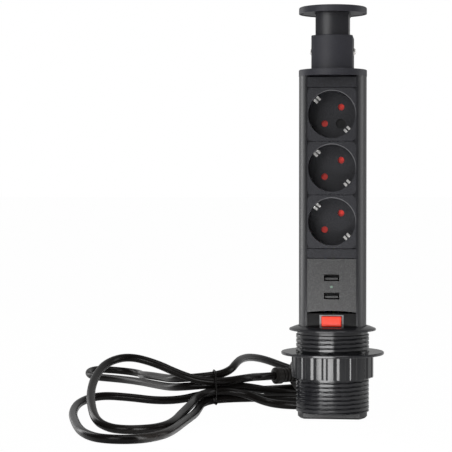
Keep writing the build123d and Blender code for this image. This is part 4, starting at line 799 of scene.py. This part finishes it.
floor_paper = bpy.data.materials.new("floor_paper")
floor_paper.use_nodes = True
paper_tree = floor_paper.node_tree
paper = paper_tree.nodes["Principled BSDF"]
paper_fibre = add(paper_tree, "ShaderNodeGroup", node_tree=moulded_grain)
for label, value in {"Colour": (0.88, 0.88, 0.88, 1.0), "Fleck": (0.93, 0.93, 0.93, 1.0),
                     "Grain mm": 4.0, "Roughness": 0.75, "Relief mm": 0.0}.items():
    paper_fibre.inputs[label].default_value = value
paper_tree.links.new(paper_fibre.outputs["Colour"], paper.inputs["Base Color"])
paper_tree.links.new(paper_fibre.outputs["Roughness"], paper.inputs["Roughness"])
white = add(paper_tree, "ShaderNodeEmission", {"Color": (1.0, 1.0, 1.0, 1.0), "Strength": 1.0})
path = add(paper_tree, "ShaderNodeLightPath")
seen = add(paper_tree, "ShaderNodeMath", {0: path.outputs["Is Camera Ray"], 1: EVENLY_LIT},
           operation="MULTIPLY")
blend = add(paper_tree, "ShaderNodeMixShader",
            {0: seen.outputs[0], 1: paper.outputs[0], 2: white.outputs[0]})
paper_tree.links.new(blend.outputs[0], paper_tree.nodes["Material Output"].inputs["Surface"])
floor = mesh_piece("floor", build_floor)
dress(floor, floor_paper)
print("floor ready")

# %% Surroundings
FILL = 0.45
BEHIND_CAMERA = 0.12
BEHIND_OBJECT = 0.42
BRIGHTENS_FROM, BRIGHTENS_TO = 0.2, 0.95

world = bpy.data.worlds.new("white_studio")
world.use_nodes = True
bpy.context.scene.world = world
sky = world.node_tree
background = sky.nodes["Background"]
rays = add(sky, "ShaderNodeLightPath")
way = add(sky, "ShaderNodeSeparateXYZ", {0: add(sky, "ShaderNodeTexCoord").outputs["Generated"]})
mirrored = add(sky, "ShaderNodeMapRange",
               {"Value": way.outputs["Y"], "From Min": BRIGHTENS_FROM, "From Max": BRIGHTENS_TO,
                "To Min": BEHIND_CAMERA, "To Max": BEHIND_OBJECT}, interpolation_type="SMOOTHSTEP")
filled = add(sky, "ShaderNodeMix",
             {0: rays.outputs["Is Glossy Ray"], 2: FILL, 3: mirrored.outputs[0]})
clear = add(sky, "ShaderNodeMath",
            {0: rays.outputs["Is Camera Ray"], 1: rays.outputs["Is Transmission Ray"]},
            operation="MAXIMUM")
brightness = add(sky, "ShaderNodeMix", {0: clear.outputs[0], 2: filled.outputs[0], 3: 1.0})
background.inputs["Color"].default_value = (1.0, 1.0, 1.0, 1.0)
sky.links.new(brightness.outputs[0], background.inputs["Strength"])
print("surroundings ready")

# %% Lights


def soft_light(name, place, aim, width, height, power):
    """Rectangular soft light that faces a point."""
    data = bpy.data.lights.new(name, "AREA")
    data.shape = "RECTANGLE"
    data.size = width
    data.size_y = height
    data.energy = power
    lamp = bpy.data.objects.new(name, data)
    lamp.location = place
    lamp.rotation_euler = (Vector(aim) - Vector(place)).to_track_quat("-Z", "Y").to_euler()
    bpy.context.collection.objects.link(lamp)
    return lamp


def around(turn, distance, height):
    """Place on a circle round the tower; turn is in degrees, from the front towards the left."""
    angle = math.radians(turn)
    return (-distance * math.sin(angle), -distance * math.cos(angle), height)


soft_light("front_left", around(28, 1.35, 0.65), (0, 0, 0.15), 0.7, 0.9, 7.0)
soft_light("left_edge", around(125, 1.05, 0.4), (0, 0, 0.2), 0.3, 0.9, 2.2)
soft_light("right_edge", around(-118, 1.0, 0.4), (0, 0, 0.2), 0.3, 0.9, 1.6)
soft_light("above", around(-20, 0.25, 1.5), (0, 0, 0.2), 0.9, 0.9, 5.0)
low_card = soft_light("low_card", around(16, 0.2, 0.027), (0, 0, 0.027), 0.15, 0.048, 0.24)
low_card.visible_camera = False
bpy.context.scene.view_settings.view_transform = "Standard"
print("lights ready")
